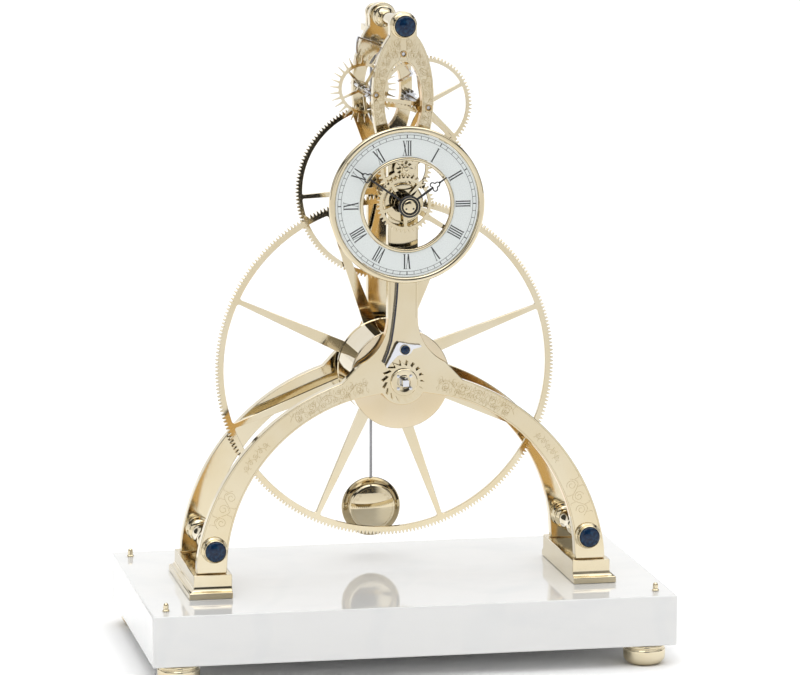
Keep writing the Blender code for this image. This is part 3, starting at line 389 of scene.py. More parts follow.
def add_prism(bm, loops, planes):
    """Add a flat solid between two planes of Y: the first loop is its outline, the rest holes."""
    edges = []
    for loop in loops:
        edges += loop_edges(bm, loop, planes[0])
    result = bmesh.ops.triangle_fill(bm, use_beauty=True, use_dissolve=False, edges=edges)
    faces = [item for item in result["geom"] if isinstance(item, bmesh.types.BMFace)]
    result = bmesh.ops.extrude_face_region(bm, geom=faces)
    moved = [item for item in result["geom"] if isinstance(item, bmesh.types.BMVert)]
    bmesh.ops.translate(bm, verts=moved, vec=(0, (planes[1] - planes[0]) * MM, 0))


def prism(name, loops, planes, look, axis=ORIGIN, bevel=0, segments=2):
    bm = bmesh.new()
    add_prism(bm, loops, planes)
    return to_object(name, bm, look, at(axis), bevel, segments)


def add_turned(bm, profile, steps, upright=False, place=(0, 0, 0)):
    """Spin (radius, position) points about Y, or about Z if upright."""
    verts = [new_vert(bm, radius, 0, position) for radius, position in profile]
    edges = [bm.edges.new(pair) for pair in zip(verts, verts[1:])]
    if profile[0][0] > 0:
        edges.append(bm.edges.new((verts[-1], verts[0])))
    before = set(bm.verts) - set(verts)
    bmesh.ops.spin(
        bm, geom=verts + edges, cent=(0, 0, 0), axis=(0, 0, 1), angle=math.tau, steps=steps, use_merge=True
    )
    fresh = [vert for vert in bm.verts if vert not in before]
    bmesh.ops.remove_doubles(bm, verts=fresh, dist=0.002 * MM)
    fresh = [vert for vert in bm.verts if vert not in before]
    if not upright:
        bmesh.ops.rotate(bm, verts=fresh, matrix=Matrix.Rotation(-math.pi / 2, 3, "X"))
    bmesh.ops.translate(bm, verts=fresh, vec=[value * MM for value in place])


def turned(name, profile, look, place=(0, 0, 0), steps=64, upright=False):
    bm = bmesh.new()
    add_turned(bm, profile, steps, upright)
    return to_object(name, bm, look, place)


def rounded(profile, radius, steps=3):
    """A turned profile with its inner corners eased by short curves."""
    points = [profile[0]]
    for before, corner, after in zip(profile, profile[1:], profile[2:]):
        here = Vector(corner)
        one, two = Vector(before) - here, Vector(after) - here
        cut = min(radius, one.length * 0.45, two.length * 0.45)
        if corner[0] == 0 or one.angle(two, 0) > math.radians(172):
            points.append(corner)
            continue
        start, end = here + one.normalized() * cut, here + two.normalized() * cut
        for i in range(steps + 1):
            share = i / steps
            spot = start * (1 - share) ** 2 + here * 2 * share * (1 - share) + end * share ** 2
            points.append((spot.x, spot.y))
    points.append(profile[-1])
    return points


def add_box(bm, low, high):
    result = bmesh.ops.create_cube(bm, size=1)
    low, high = (Vector([value * MM for value in corner]) for corner in (low, high))
    bmesh.ops.scale(bm, verts=result["verts"], vec=high - low)
    bmesh.ops.translate(bm, verts=result["verts"], vec=(low + high) / 2)
    return result["verts"]


def add_shell(bm, rings):
    """Close a stack of four-cornered rings of vertices into a solid."""
    for upper, lower in zip(rings, rings[1:]):
        for i in range(4):
            bm.faces.new((upper[i - 1], upper[i], lower[i], lower[i - 1]))
    bm.faces.new(rings[0])
    bm.faces.new(rings[-1])


def cut_teeth(count, tooth, phase=0):
    """An outline of equal teeth: each is a list of (share of the pitch, radius)."""
    pitch = 360 / count
    return [polar(radius, phase + (i + share) * pitch) for i in range(count) for share, radius in tooth]


def towards(axis, other):
    return math.degrees(math.atan2(other[1] - axis[1], other[0] - axis[0]))


def toothed(teeth, root, tip, root_share, tip_share, phase=0):
    """A gear outline about the origin: each tooth rises from the root to a flat tip."""
    sides = ((-root_share / 2, root), (-tip_share / 2, tip), (tip_share / 2, tip), (root_share / 2, root))
    return cut_teeth(teeth, sides, phase)


def half_angle(width, radius):
    return math.degrees(math.asin(width / 2 / radius))


def windows(count, hub, rim, hub_width, rim_width, phase, steps, fillet):
    """Openings between tapered spokes, with small fillets where the spokes meet the rim."""
    inner = half_angle(hub_width, hub)
    flare = half_angle(rim_width + 2 * fillet, rim)
    bend, low = rim - fillet * 0.3, rim - fillet
    mid = half_angle(rim_width + fillet * 0.6, bend)
    side = half_angle(rim_width, low)
    loops = []
    for i in range(count):
        spoke = phase + 360 * i / count
        end = spoke + 360 / count
        loop = arc(ORIGIN, rim, spoke + flare, end - flare, steps)
        loop += [polar(bend, end - mid), polar(low, end - side)]
        loop += arc(ORIGIN, hub, end - inner, spoke + inner, 8)
        loop += [polar(low, spoke + side), polar(bend, spoke + mid)]
        loops.append(loop)
    return loops


def line(name, strands, radius, look):
    """Thin round strands through lists of points, as one curve object."""
    curve = bpy.data.curves.new(name, "CURVE")
    curve.dimensions = "3D"
    curve.bevel_depth = radius * MM
    curve.bevel_resolution = 1
    curve.use_fill_caps = True
    for strand in strands:
        closed = strand[0] == strand[-1] and len(strand) > 3
        points = strand[:-1] if closed else strand
        spline = curve.splines.new("POLY")
        spline.points.add(len(points) - 1)
        for point, spot in zip(spline.points, points):
            point.co = (*(value * MM for value in spot), 1)
        spline.use_cyclic_u = closed
    curve.materials.append(look)
    return place_in_scene(name, curve)


def stand_for(piece):
    """The piece takes the place of the CAD node it is named after: it joins that node's body, and the node is
    hidden.
    """
    node = piece.name.removesuffix("_v")
    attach(piece, BODY_OF[node])
    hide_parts(node)


def detail(piece, body, slot):
    """An extra piece on a body that stands for no CAD node."""
    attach(piece, body)


# ---------------- base


def corner_places(x, y):
    names = ("front_left", "front_right", "rear_left", "rear_right")
    return zip(names, ((-x, -y), (x, -y), (-x, y), (x, y)))


def build_base(looks):
    half_x, half_y = 191.5, 111.5
    bm = bmesh.new()
    add_box(bm, (-half_x, -half_y, SLAB_LOW), (half_x, half_y, SLAB_TOP))
    stand_for(to_object("base_slab_v", bm, looks.marble, bevel=1.1, segments=4))
    foot = rounded([
        (0, 15.2), (14.6, 15.2), (15.2, 14.6), (15.4, 13.4), (14.7, 12.6), (14.7, 12.1), (15.4, 11.2),
        (15.4, 7.6), (15.1, 4.2), (13.2, 1.5), (10.4, 0), (0, 0),
    ], 0.8)
    for side, (x, y) in corner_places(171, 96):
        stand_for(turned(f"foot_{side}_v", foot, looks.gold, (x, y, 0), 72, upright=True))
    pin = [(0, 6)] + arc((0, 4.1), 1.9, 75, 0, 5)
    pin += [(1.9, 1.2), (2.5, 0.8), (2.5, 0), (0, 0)]
    for side, (x, y) in corner_places(179.5, 94):
        stand_for(turned(f"pin_{side}_v", pin, looks.gold, (x, y, SLAB_TOP + GAP), 28, upright=True))
    for side, name in ((-1, "plinth_left_v"), (1, "plinth_right_v")):
        stand_for(plinth(name, side, looks.gold_satin))


def plinth(name, side, look):
    """A block with a flat inner side; a cove flares to its base band on the other three."""
    cove_top, cove_height, cove_flare = 61.4, 4, 3.3
    levels = [(PLINTH_TOP, 0), (cove_top, 0)]
    for i in range(1, 8):
        turn = math.radians(90 * i / 7)
        levels.append((cove_top - cove_height * math.sin(turn), cove_flare * (1 - math.cos(turn))))
    levels += [(57, 3.9), (SLAB_TOP + GAP, 4)]
    inner, outer = side * 126.2, 154
    front, rear = -58.2, 37.5
    bm = bmesh.new()
    rings = []
    for height, flare in levels:
        out = side * (outer + flare)
        corners = ((inner, front - flare), (out, front - flare), (out, rear + flare), (inner, rear + flare))
        rings.append([new_vert(bm, x, y, height) for x, y in corners])
    add_shell(bm, rings)
    return to_object(name, bm, look, bevel=0.35, sharp=30)


# ---------------- plates and pillars


def half_outline():
    """Right half of a plate's outline, from the arch's underside round to the top boss."""
    foot = PLINTH_TOP + GAP
    ix, iz, inner = LEG_INNER_ARC
    ox, oz, outer = LEG_OUTER_ARC
    points = arc(BARREL, 17.5, -90, -30, 10)
    low = math.degrees(math.asin((foot - iz) / inner))
    points += arc((ix, iz), inner, 75, low + 1.5, 40)
    points += [(129.3, foot), (151.2, foot)]
    low = math.degrees(math.asin((foot - oz) / outer))
    points += arc((ox, oz), outer, low + 3, 72, 46)
    points += arc((COLUMN_HALF + FILLET_RADIUS, 252), FILLET_RADIUS, 244, 180, 20)
    bottom = RING_CENTRE - RING_HALF[1] * math.sqrt(1 - (COLUMN_HALF / RING_HALF[0]) ** 2)
    points.append((COLUMN_HALF, bottom))
    points += oval(RING_CENTRE, RING_HALF, -54, 64, 26)
    return points + arc(PILLAR_TOP, TOP_BOSS, -12, 90, 14)


def plate_loops(holes):
    right = half_outline()
    left = [(-x, z) for x, z in reversed(right[1:-1])]
    loops = [right + left, oval(OPENING_CENTRE, OPENING_HALF, 0, 360, 96)[:-1]]
    return loops + [circle(axis, radius, 32) for axis, radius in holes]


def paint_shade_and_reflection(plate, look, back):
    """Paint shade and reflected gold as a deeper gold on the faces that only see other gold: undersides, the
    ring's opening, the fillets, a back face.
    """
    plate.data.materials.append(look)
    for face in plate.data.polygons:
        x, z = face.center.x / MM, face.center.z / MM
        inside = (x / OPENING_HALF[0]) ** 2 + ((z - OPENING_CENTRE) / OPENING_HALF[1]) ** 2 < 1.1
        under = face.normal.z < -0.25
        fillet = abs(x) < 38 and 215 < z < 262
        on_edge = abs(face.normal.y) < 0.5
        if (back and face.normal.y > 0.9) or (on_edge and (inside or under or fillet)):
            face.material_index = 1


def build_plates(looks):
    stems = [(PILLAR_LEFT, 4.5), (PILLAR_RIGHT, 4.5), (PILLAR_TOP, 4.5)]
    shared = stems + [(THIRD, 1.6), (ESCAPE, 1.6)]
    front = [(BARREL, 6.4), (CENTRE, 2.8), (STUD, 1.7), (CLICK, 1.7), (PALLETS, 1.6)]
    rear = [(BARREL, 4.1), (CENTRE, 1.6), (PALLETS, 3)]
    boss = rounded([(2.8, -53.8), (2.8, -55.7), (13.6, -55.7), (14.5, -54.9), (14.5, -53.8)], 0.4)
    for side, holes, planes in (
        ("front", front, (FRONT_FACE, FRONT_BACK)), ("rear", rear, (REAR_FACE, REAR_BACK)),
    ):
        loops = plate_loops(shared + holes)
        plate = prism(f"{side}_plate_v", loops, planes, looks.gold_satin, bevel=0.5, segments=3)
        # undersides, fillets, the opening's edges and the front plate's back face get painted shade and
        # reflection
        paint_shade_and_reflection(plate, looks.gold_deep, side == "front")
        stand_for(plate)
        if side == "front":
            detail(turned("centre_boss", boss, looks.gold, at(CENTRE), 72), "frame", "gold")
    bush = ((1.65, 0.02), (1.65, 0.22), (2.1, 0.3), (2.5, 0.22), (2.5, 0.02))
    for name, axis in (("third", THIRD), ("escape", ESCAPE), ("pallet", PALLETS)):
        for side, face, out in (("front", FRONT_FACE, -1), ("rear", REAR_BACK, 1)):
            if (name, side) == ("pallet", "rear"):
                continue
            profile = [(radius, face + out * depth) for radius, depth in bush]
            # the bushes' darker gold is painted shade
            piece = turned(f"bush_{name}_{side}", profile, looks.gold_dark, at(axis), 36)
            detail(piece, "frame", "gold")


def baluster(near, far, slim):
    """Half-profile of a pillar between its plates: end rings, necks and a long swelling."""
    half = [
        (7.6, 0), (7.8, 0.5), (7.8, 1.6), (7.2, 2.4), (5, 2.9), (4.5, 3.8), (4.5, 4.6), (6.2, 5.2),
        (7, 6), (7.2, 7.2), (6.8, 8.4), (5.2, 9), (4.6, 9.8), (4.7, 11), (5, 31),
    ] if slim else [
        (9.2, 0), (9.4, 0.6), (9.4, 2), (9, 2.8), (6.2, 3.4), (5.4, 4.4), (5.6, 5.4), (7.6, 6),
        (8.4, 7), (8.6, 8.2), (8.4, 9.4), (7.6, 10.4), (5.6, 11), (5.2, 12.2), (5.4, 13.4),
        (6.6, 16), (7.6, 19.5), (7.9, 23), (7.6, 27), (7, 31),
    ]
    profile = [(radius, near + offset) for radius, offset in half]
    return profile + [(radius, far - offset) for radius, offset in reversed(half)]


def dome(radius, edge, height, out, steps=8):
    """Points of a low dome from its edge to the axis, rising towards out (-1 front, 1 rear)."""
    return [(radius * x, edge + out * height * z) for x, z in arc(ORIGIN, 1, 0, 90, steps)]


def blind_nut(name, front, radius, look, place):
    """A round domed nut with a groove, closed at the back."""
    profile = [
        (0, front + 4.9), (4.4, front + 4.9), (4.4, front), (radius - 0.3, front), (radius, front + 0.5),
        (radius, front + 2), (radius - 0.5, front + 2.5), (radius - 1, front + 2.7),
    ]
    profile += dome(radius - 1.1, front + 3.1, 5.2, 1, 10)
    return turned(name, profile, look, place, 56)


def build_pillars(looks):
    near, far = FRONT_BACK + GAP, REAR_FACE - GAP
    middle = (FRONT_FACE + FRONT_BACK) / 2
    back = FRONT_FACE - GAP
    stem = 4
    cup = rounded([
        (0, middle - GAP), (stem, middle - GAP), (stem, back), (9.5, back), (9.7, back - 0.6),
        (9.5, back - 1.5), (8.6, back - 1.9), (8.2, back - 2.6), (8.1, back - 5.4), (8.25, back - 5.9),
        (7.9, back - 6.4), (7.45, back - 6.2), (7.45, back - 5.3), (0, back - 5.3),
    ], 0.25, 2)
    gem = [(0, -59.6), (7.2, -59.6), (7.2, -60.3)] + dome(7.2, -60.5, 1.8, -1)
    for side, axis, end in (
        ("left", PILLAR_LEFT, 37.5), ("right", PILLAR_RIGHT, 37.5), ("top", PILLAR_TOP, 60.5),
    ):
        place = at(axis)
        profile = [(0, middle + GAP), (stem, middle + GAP), (stem, near)]
        profile += baluster(near, far, side == "top") + [(stem, far), (stem, end), (0, end)]
        stand_for(turned(f"pillar_{side}_v", profile, looks.gold, place))
        stand_for(turned(f"jewel_cup_{side}_v", cup, looks.gold, place, 72))
        stand_for(turned(f"jewel_{side}_v", gem, looks.lapis, place))
        if side != "top":
            stand_for(blind_nut(f"pillar_nut_{side}_v", REAR_BACK + GAP, 8, looks.gold, place))


# ---------------- engraving


def spiral(centre, radius, start, turns, steps=18):
    """A flat spiral that winds in to about a quarter of its radius."""
    shares = [i / steps for i in range(steps + 1)]
    return [polar(radius * (1 - 0.75 * share), start + 360 * turns * share, centre) for share in shares]


def foliage(path, half_width, waves, side):
    """Dense leafwork along a path: paired curls either side of a stem, with leaves between."""
    strands = []
    for k in range(waves):
        middle = (k + 0.5) / waves
        ahead = path(min(1, middle + 0.01), 0)
        for edge in (-1, 1):
            bend = side * edge
            centre = path(middle + 0.22 * edge / waves, edge * half_width * 0.46)
            heading = towards(centre, ahead)
            strands.append(spiral(centre, half_width * 0.44, heading + bend * 60, -bend * 1.3))
            strands.append(spiral(centre, half_width * 0.26, heading + bend * 150, -bend * 0.8, 10))
            for shift in (-0.42, -0.12, 0.3):
                leaf = ((shift, 0.1), (shift + 0.16, 0.52), (shift + 0.06, 0.98), (shift - 0.04, 0.55))
                leaf = [path(middle + along / waves, edge * half_width * out) for along, out in leaf]
                strands.append(leaf + leaf[:1])
    return strands


def vine(path, half_width, waves, side):
    """A running scroll along a path function: a stem, a spiral in each bend, and small leaves."""
    count = 18 * waves
    shares = [i / count for i in range(count + 1)]
    swing = side * half_width * 0.55
    strands = [[path(share, swing * math.sin(math.pi * waves * share)) for share in shares]]
    for k in range(waves):
        middle = (k + 0.5) / waves
        bend = side * (1 if k % 2 == 0 else -1)
        centre = path(middle, -bend * half_width * 0.12)
        heading = towards(centre, path(min(1, middle + 0.01), -bend * half_width * 0.12))
        strands.append(spiral(centre, half_width * 0.52, heading + bend * 90, -bend * 1.4, 20))
        for shift in (-0.3, 0.3):
            leaf = ((shift, 0.42), (shift * 1.05, 0.9), (shift * 1.5, 0.95))
            strands.append([path(middle + along / waves, bend * half_width * out) for along, out in leaf])
    return strands


def leg_path(mirror, start, end):
    """Along a front leg's middle line, from a start to an end angle in degrees."""
    def spot(share, offset):
        x, z = polar(141.4 + offset, start + (end - start) * share, (-0.85, 64.3))
        return (mirror * x, z)
    return spot


def ring_path(mirror, start, end):
    """Along the middle of the upper ring's band."""
    def spot(share, offset):
        x, z = polar(1, start + (end - start) * share)
        return (mirror * (18 + offset) * x, 410 + (38.8 + offset) * z)
    return spot


def build_engraving(looks):
    """Fine dark lines of generic scrollwork on the front plate, and its engraved borders."""
    flat = []
    for mirror in (-1, 1):
        flat += vine(leg_path(mirror, 15.5, 27.5), 7.4, 3, 1)
        flat += vine(leg_path(mirror, 34, 45), 3.2, 5, -1)
        flat += vine(leg_path(mirror, 54, 79), 6.4, 5, 1)
        flat += foliage(leg_path(mirror, 55.5, 79.5), 5, 6, -1)
        flat += foliage(ring_path(mirror, -52, 58), 4.2, 8, 1)
        flat += foliage(ring_path(mirror, 58, 86), 7.4, 1, 1)
        flat += vine(ring_path(mirror, -52, 84), 3.4, 11, 1)
        borders = [
            arc(LEG_OUTER_ARC[:2], 155, 10, 68, 60),
            arc(LEG_INNER_ARC[:2], 127.9, 4, 72, 60),
            oval(RING_CENTRE, (21, 48.6), -50, 54, 28),
            [(9.6, z) for z in (252, 270, 300, 318)],
        ]
        flat += [[(mirror * x, z) for x, z in border] for border in borders]
    opening = oval(OPENING_CENTRE, (14.7, 29.5), 0, 360, 80)[:-1]
    flat.append(opening + opening[:1])
    depth = FRONT_FACE - 0.005
    strands = [[(x, depth, z) for x, z in strand] for strand in flat]
    detail(line("plate_scrollwork", strands, 0.11, looks.gold_engraved), "frame", "gold")


# ---------------- barrel and winding work


def build_barrel(looks):
    place = at(BARREL)
    drum = [
        (6.2, 11), (36.6, 11), (36.6, 9), (36.1, 8.4), (36.1, -40.6), (36.6, -41.2), (36.6, -42),
        (34.4, -42), (34.4, 8), (6.2, 8),
    ]
    stand_for(turned("barrel_drum_v", drum, looks.gold, place, 128))
    cover = rounded([(6.2, -42.3), (6.2, -44.7), (36.1, -44.7), (36.6, -44.2), (36.6, -42.3)], 0.2)
    stand_for(turned("barrel_cover_v", cover, looks.gold_rose, place, 128))
    hub = [(5.4, -44.75), (5.4, -45.3), (7.8, -45.3), (8.2, -44.75)]
    detail(turned("cover_hub", hub, looks.gold, place), "barrel", "gold")
    steps = [(5, -54.5), (5, 21.3), (3.6, 21.6), (3.6, 31), (3.2, 31.3)]
    stand_for(arbor("barrel_arbor_v", steps, looks.steel_bright, BARREL, square=(2.3, -65.6)))
    frame["nodes"]["mainspring"].data.materials.clear()
    frame["nodes"]["mainspring"].data.materials.append(looks.blued)


def arbor(name, steps, look, axis, square=None, leaves=None):
    """A stepped arbor from (radius, end) pairs; an optional squared end and pinion."""
    first = steps[0][1]
    profile = [(0, first)]
    position = first
    for radius, end in steps:
        profile += [(radius, position), (radius, end)]
        position = end
    profile.append((0, position))
    clean = [profile[0]]
    for point in profile[1:]:
        if math.dist(point, clean[-1]) > 0.001:
            clean.append(point)
    bm = bmesh.new()
    add_turned(bm, clean, 32)
    if square:
        half, tip = square
        add_box(bm, (-half, tip, -half), (half, first + 0.6, half))
    if leaves:
        add_prism(bm, leaves[:1], leaves[1:])
    return to_object(name, bm, look, at(axis), 0.12)


def build_winding_work(looks):
    outline = cut_teeth(18, ((0, 11.8), (0.3, 12.5), (0.62, 13.7), (0.9, 15.3), (0.93, 15.3)))
    bm = bmesh.new()
    add_prism(bm, [outline, circle(ORIGIN, 3 * math.sqrt(2), 4, 45)], CLICK_PLANES)
    collet = [(4.4, -57.5), (4.4, -59.6), (9.2, -60), (9.9, -59.3), (9.9, -57.5)]
    add_turned(bm, rounded(collet, 0.3), 72)
    stand_for(to_object("ratchet_wheel_v", bm, looks.gold, at(BARREL), 0.15))
    head = rounded([(0, -59.5), (1.25, -59.5), (1.25, -60.1), (0, -60.45)], 0.2)
    bm = bmesh.new()
    for turn in (45, 135, 225, 315):
        add_turned(bm, head, 20, place=at(polar(6.4, turn)))
    detail(to_object("collet_screws", bm, looks.steel, at(BARREL)), "winding", "steel")

    arms = [
        (-4.6, 5.6), (-6.4, 4), (-11, -6), (-14, -11.6), (-13.2, -13.4), (-10.2, -9.6), (-5.6, -4.6),
        (-3.4, -3.8), (-0.6, -4.4), (2.2, -4.2), (4.4, -2.6), (6.2, 0.2), (12, 1.6), (12.3, 2.2),
        (11.8, 3), (4, 3.8), (0, 4.8),
    ]
    stand_for(prism("click_v", [arms, hole(1.9, 32)], CLICK_PLANES, looks.steel_bright, CLICK, 0.3, 3))
    screw = [(0, -48.7), (1.4, -48.7), (1.4, -57.9), (3.4, -57.9)] + dome(3.4, -58.1, 1.9, -1)
    stand_for(turned("click_screw_v", screw, looks.lapis, at(CLICK), 40))
    rim = [(3.5, -57.8), (3.5, -58.4), (3.85, -58.4), (3.85, -57.8)]
    detail(turned("click_screw_rim", rim, looks.gold, at(CLICK), 40), "frame", "gold")
    stand_for(click_spring(looks.blued))


def click_spring(look):
    """A long bent strip of spring steel on edge, screwed to the column near its top."""
    spots = [
        (-4.6, 279), (-5.2, 268), (-6.4, 256), (-7.6, 246), (-9.2, 236), (-11.6, 228),
        (-14.6, 220.5),
    ]
    outline = [(x - 0.6, z) for x, z in spots] + [(x + 0.6, z) for x, z in reversed(spots)]
    return prism("click_spring_v", [outline], (-57.6, -54), look, bevel=0.12)


def build_great_wheel(looks):
    loops = [toothed(288, 124.5, 126.85, 0.72, 0.2, 90), hole(6.2, 48)]
    loops += windows(8, 34, 120.8, 9.4, 3.4, 20, 26, 1.6)
    stand_for(prism("great_wheel_v", loops, (11.3, 14.5), looks.gold_satin, BARREL, 0.16, 1))


# ---------------- going train


def gap_phase(axis, other, teeth):
    """Leaf phase that leaves a space facing the other arbor."""
    return towards(axis, other) + 180 / teeth


def build_train(looks):
    gold, steel = looks.gold_satin, looks.steel
    front_pivot, rear_pivot = [(1.2, -53.4), (1.2, -44.9)], [(1.2, 23.4), (1.2, 31.8)]
    leaves = toothed(10, 2.9, 5, 0.42, 0.14, gap_phase(CENTRE, BARREL, 10))
    steps = [(2, -76), (2.2, 23.5), (1.2, 23.8), (1.2, 31.8)]
    stand_for(arbor("centre_arbor_v", steps, steel, CENTRE, leaves=(leaves, 9.6, 16.1)))
    loops = [toothed(150, 63.9, 65.9, 0.72, 0.2, towards(CENTRE, THIRD)), hole(2.5, 32)]
    loops += windows(5, 9, 61, 5, 3, 183.5, 30, 1)
    stand_for(prism("centre_wheel_v", loops, (17.6, 20.4), gold, CENTRE, 0.12, 1))
    hub = [(2.3, 16.9), (2.3, 21), (5, 21), (5.6, 20.5), (5.6, 17.5), (5, 16.9)]
    detail(turned("centre_wheel_hub", hub, looks.gold, at(CENTRE), 40), "centre", "gold")

    leaves = toothed(12, 3.75, 5.85, 0.42, 0.14, gap_phase(THIRD, CENTRE, 12))
    steps = front_pivot + [(2, -44.7), (2, 23.2)] + rear_pivot
    stand_for(arbor("third_arbor_v", steps, steel, THIRD, leaves=(leaves, 14, 22.8)))
    loops = [toothed(80, 33.9, 35.9, 0.66, 0.2, towards(THIRD, ESCAPE)), hole(2.3, 32)]
    loops += windows(5, 6, 31.6, 3.4, 2.3, 27, 22, 0.8)
    stand_for(prism("third_wheel_v", loops, (-34.2, -31.9), gold, THIRD, 0.12, 1))

    leaves = toothed(10, 2.9, 5, 0.42, 0.14, gap_phase(ESCAPE, THIRD, 10))
    steps = front_pivot + [(1.8, -44.7), (1.8, 23.2)] + rear_pivot
    stand_for(arbor("escape_arbor_v", steps, steel, ESCAPE, leaves=(leaves, -36.6, -28.5)))
    tooth = (
        (0, 24.85), (0.05, 24.4), (0.16, 21), (0.3, 18.6), (0.45, 18.4), (0.84, 18.4), (0.9, 19),
        (0.97, 24.2),
    )
    loops = [cut_teeth(30, tooth, towards(ESCAPE, PALLETS) + 48), hole(2.1, 28)]
    loops += windows(5, 4.6, 16.2, 2.2, 1.6, 60, 16, 0.5)
    stand_for(prism("escape_wheel_v", loops, (-6, -4.2), gold, ESCAPE, 0.08, 1))


def build_anchor(looks):
    """Dead-beat pallets with slender curved arms, their arbor and the crutch."""
    line_angle = towards(PALLETS, ESCAPE)
    bm = bmesh.new()
    add_turned(bm, [(1.9, -2.6), (1.9, -7.6), (4, -7.6), (4.4, -7.2), (4.4, -3), (4, -2.6)], 40)
    for side in (-1, 1):
        tip, root = line_angle + side * 47.2, line_angle + side * 76
        outside = arc(ORIGIN, 25.7, tip, root, 14)
        inside = arc(ORIGIN, 24.3, root - side * 3, tip, 12)
        arm = [polar(3.9, root + side * 8), polar(3.6, root - side * 28)]
        add_prism(bm, [outside + arm + inside], (-6.8, -3.4))
    stand_for(to_object("pallets_v", bm, looks.steel_bright, at(PALLETS), 0.15))
    steps = [(1.2, -53.4), (1.2, -44.9), (1.6, -44.7), (1.6, 49.2), (1.2, 49.4), (1.2, 55.5)]
    stand_for(arbor("pallet_arbor_v", steps, looks.steel, PALLETS))
    bm = bmesh.new()
    add_turned(bm, [(1.9, 41.6), (1.9, 44.4), (3.6, 44.4), (3.6, 41.6)], 36)
    drop = 388 - PALLETS[1]
    add_box(bm, (-1.3, 42.3, drop), (1.3, 43.7, -3.2))
    add_box(bm, (-3.6, 42, drop - 2.4), (3.6, 44, drop + 0.2))
    for middle in (-2.6, 2.6):
        add_box(bm, (middle - 0.8, 44, drop - 1.9), (middle + 0.8, 72, drop - 0.1))
    stand_for(to_object("crutch_v", bm, looks.steel, at(PALLETS), 0.25))


# ---------------- motion work, dial and hands


def build_motion_work(looks):
    leaves = toothed(12, 4.9, 7.05, 0.5, 0.18, gap_phase(CENTRE, STUD, 12))
    bm = bmesh.new()
    add_prism(bm, [leaves, hole(2.6, 32)], (-59.8, -56.4))
    add_prism(bm, [hole(3.4, 40), hole(2.6, 32)], (-76.4, -59.8))
    stand_for(to_object("cannon_pinion_v", bm, looks.steel, at(CENTRE), 0.1))

    bm = bmesh.new()
    loops = [toothed(36, 17.3, 19.6, 0.62, 0.2, towards(STUD, CENTRE)), hole(2.4, 32)]
    add_prism(bm, loops + windows(4, 7.6, 15.2, 3, 2.4, 30, 16, 0.6), (-59, -57.2))
    pinion = toothed(10, 3.5, 5.75, 0.46, 0.16, gap_phase(STUD, CENTRE, 10))
    add_prism(bm, [pinion, hole(2.4, 32)], (-63, -59))
    stand_for(to_object("minute_wheel_v", bm, looks.gold, at(STUD), 0.1, 1))

    stud = rounded([
        (0, -48.7), (1.4, -48.7), (1.4, -54), (3.4, -54), (3.4, -56.7), (2, -56.7), (2, -63.3),
        (2.7, -63.3), (2.7, -64.4), (1.3, -64.9), (1.1, -64.5), (0, -64.5),
    ], 0.3)
    stand_for(turned("minute_stud_v", stud, looks.gold, at(STUD), 40))

    bm = bmesh.new()
    loops = [toothed(40, 18.7, 20.8, 0.62, 0.2, towards(CENTRE, STUD)), hole(3.8, 40)]
    add_prism(bm, loops + windows(5, 8, 16.6, 3, 2.4, 54, 16, 0.6), (-62.4, -60.6))
    add_prism(bm, [hole(5, 48), hole(3.8, 40)], (-73.5, -62.4))
    stand_for(to_object("hour_wheel_v", bm, looks.gold, at(CENTRE), 0.1, 1))


def build_dial(looks):
    place = at(CENTRE)
    bm = bmesh.new()
    add_turned(bm, [(34.6, DIAL_BACK), (34.6, DIAL_FACE), (52, DIAL_FACE), (52, DIAL_BACK)], 160)
    for axis in ((-12.6, 43.2), (12.6, 43.2), (0, -44.5)):
        add_turned(bm, [(0, -66.5), (1.8, -66.5), (1.8, -54), (0, -54)], 24, place=at(axis))
    dial = to_object("dial_ring_v", bm, looks.dial, place)
    # the dial ring's back faces get black as painted shade, so the wheels reflect it dark
    dial.data.materials.append(looks.black)
    for face in dial.data.polygons:
        if face.normal.y > 0.9:
            face.material_index = 1
    stand_for(dial)
    inner, outer, back, edge = 52.3, 56.5, -65.8, DIAL_FACE - 0.3
    bezel = [(inner, back), (inner, edge)]
    bezel += [(inner + 2.1 * (1 - x), edge - 1.6 * z) for x, z in arc(ORIGIN, 1, 20, 80, 3)]
    bezel += [(outer - 2.1 * (1 - x), edge - 1.6 * z) for x, z in arc(ORIGIN, 1, 80, 0, 4)]
    bezel.append((outer, back))
    stand_for(turned("dial_bezel_v", bezel, looks.gold, place, 160))
    outer, half, edge = 34.3, 1.25, DIAL_FACE - 0.2
    ring = [(outer - 2 * half, DIAL_BACK), (outer - 2 * half, edge)]
    ring += [
        (outer - half + half * x, edge - z) for x, z in (polar(1, a) for a in (155, 130, 105, 75, 50, 25))
    ]
    ring += [(outer, edge), (outer, DIAL_BACK)]
    stand_for(turned("dial_inner_ring_v", ring, looks.gold, place, 128))
    build_numerals(looks, place)
    build_minute_track(looks, place)


def slant(low, low_end, high, high_end):
    """A stroke's corners: its left and right edge at height 0, then at height 1."""
    return [(low, 0), (low_end, 0), (high_end, 1), (high, 1)]


def bar(left, right, low, high):
    return [(left, low), (right, low), (right, high), (left, high)]


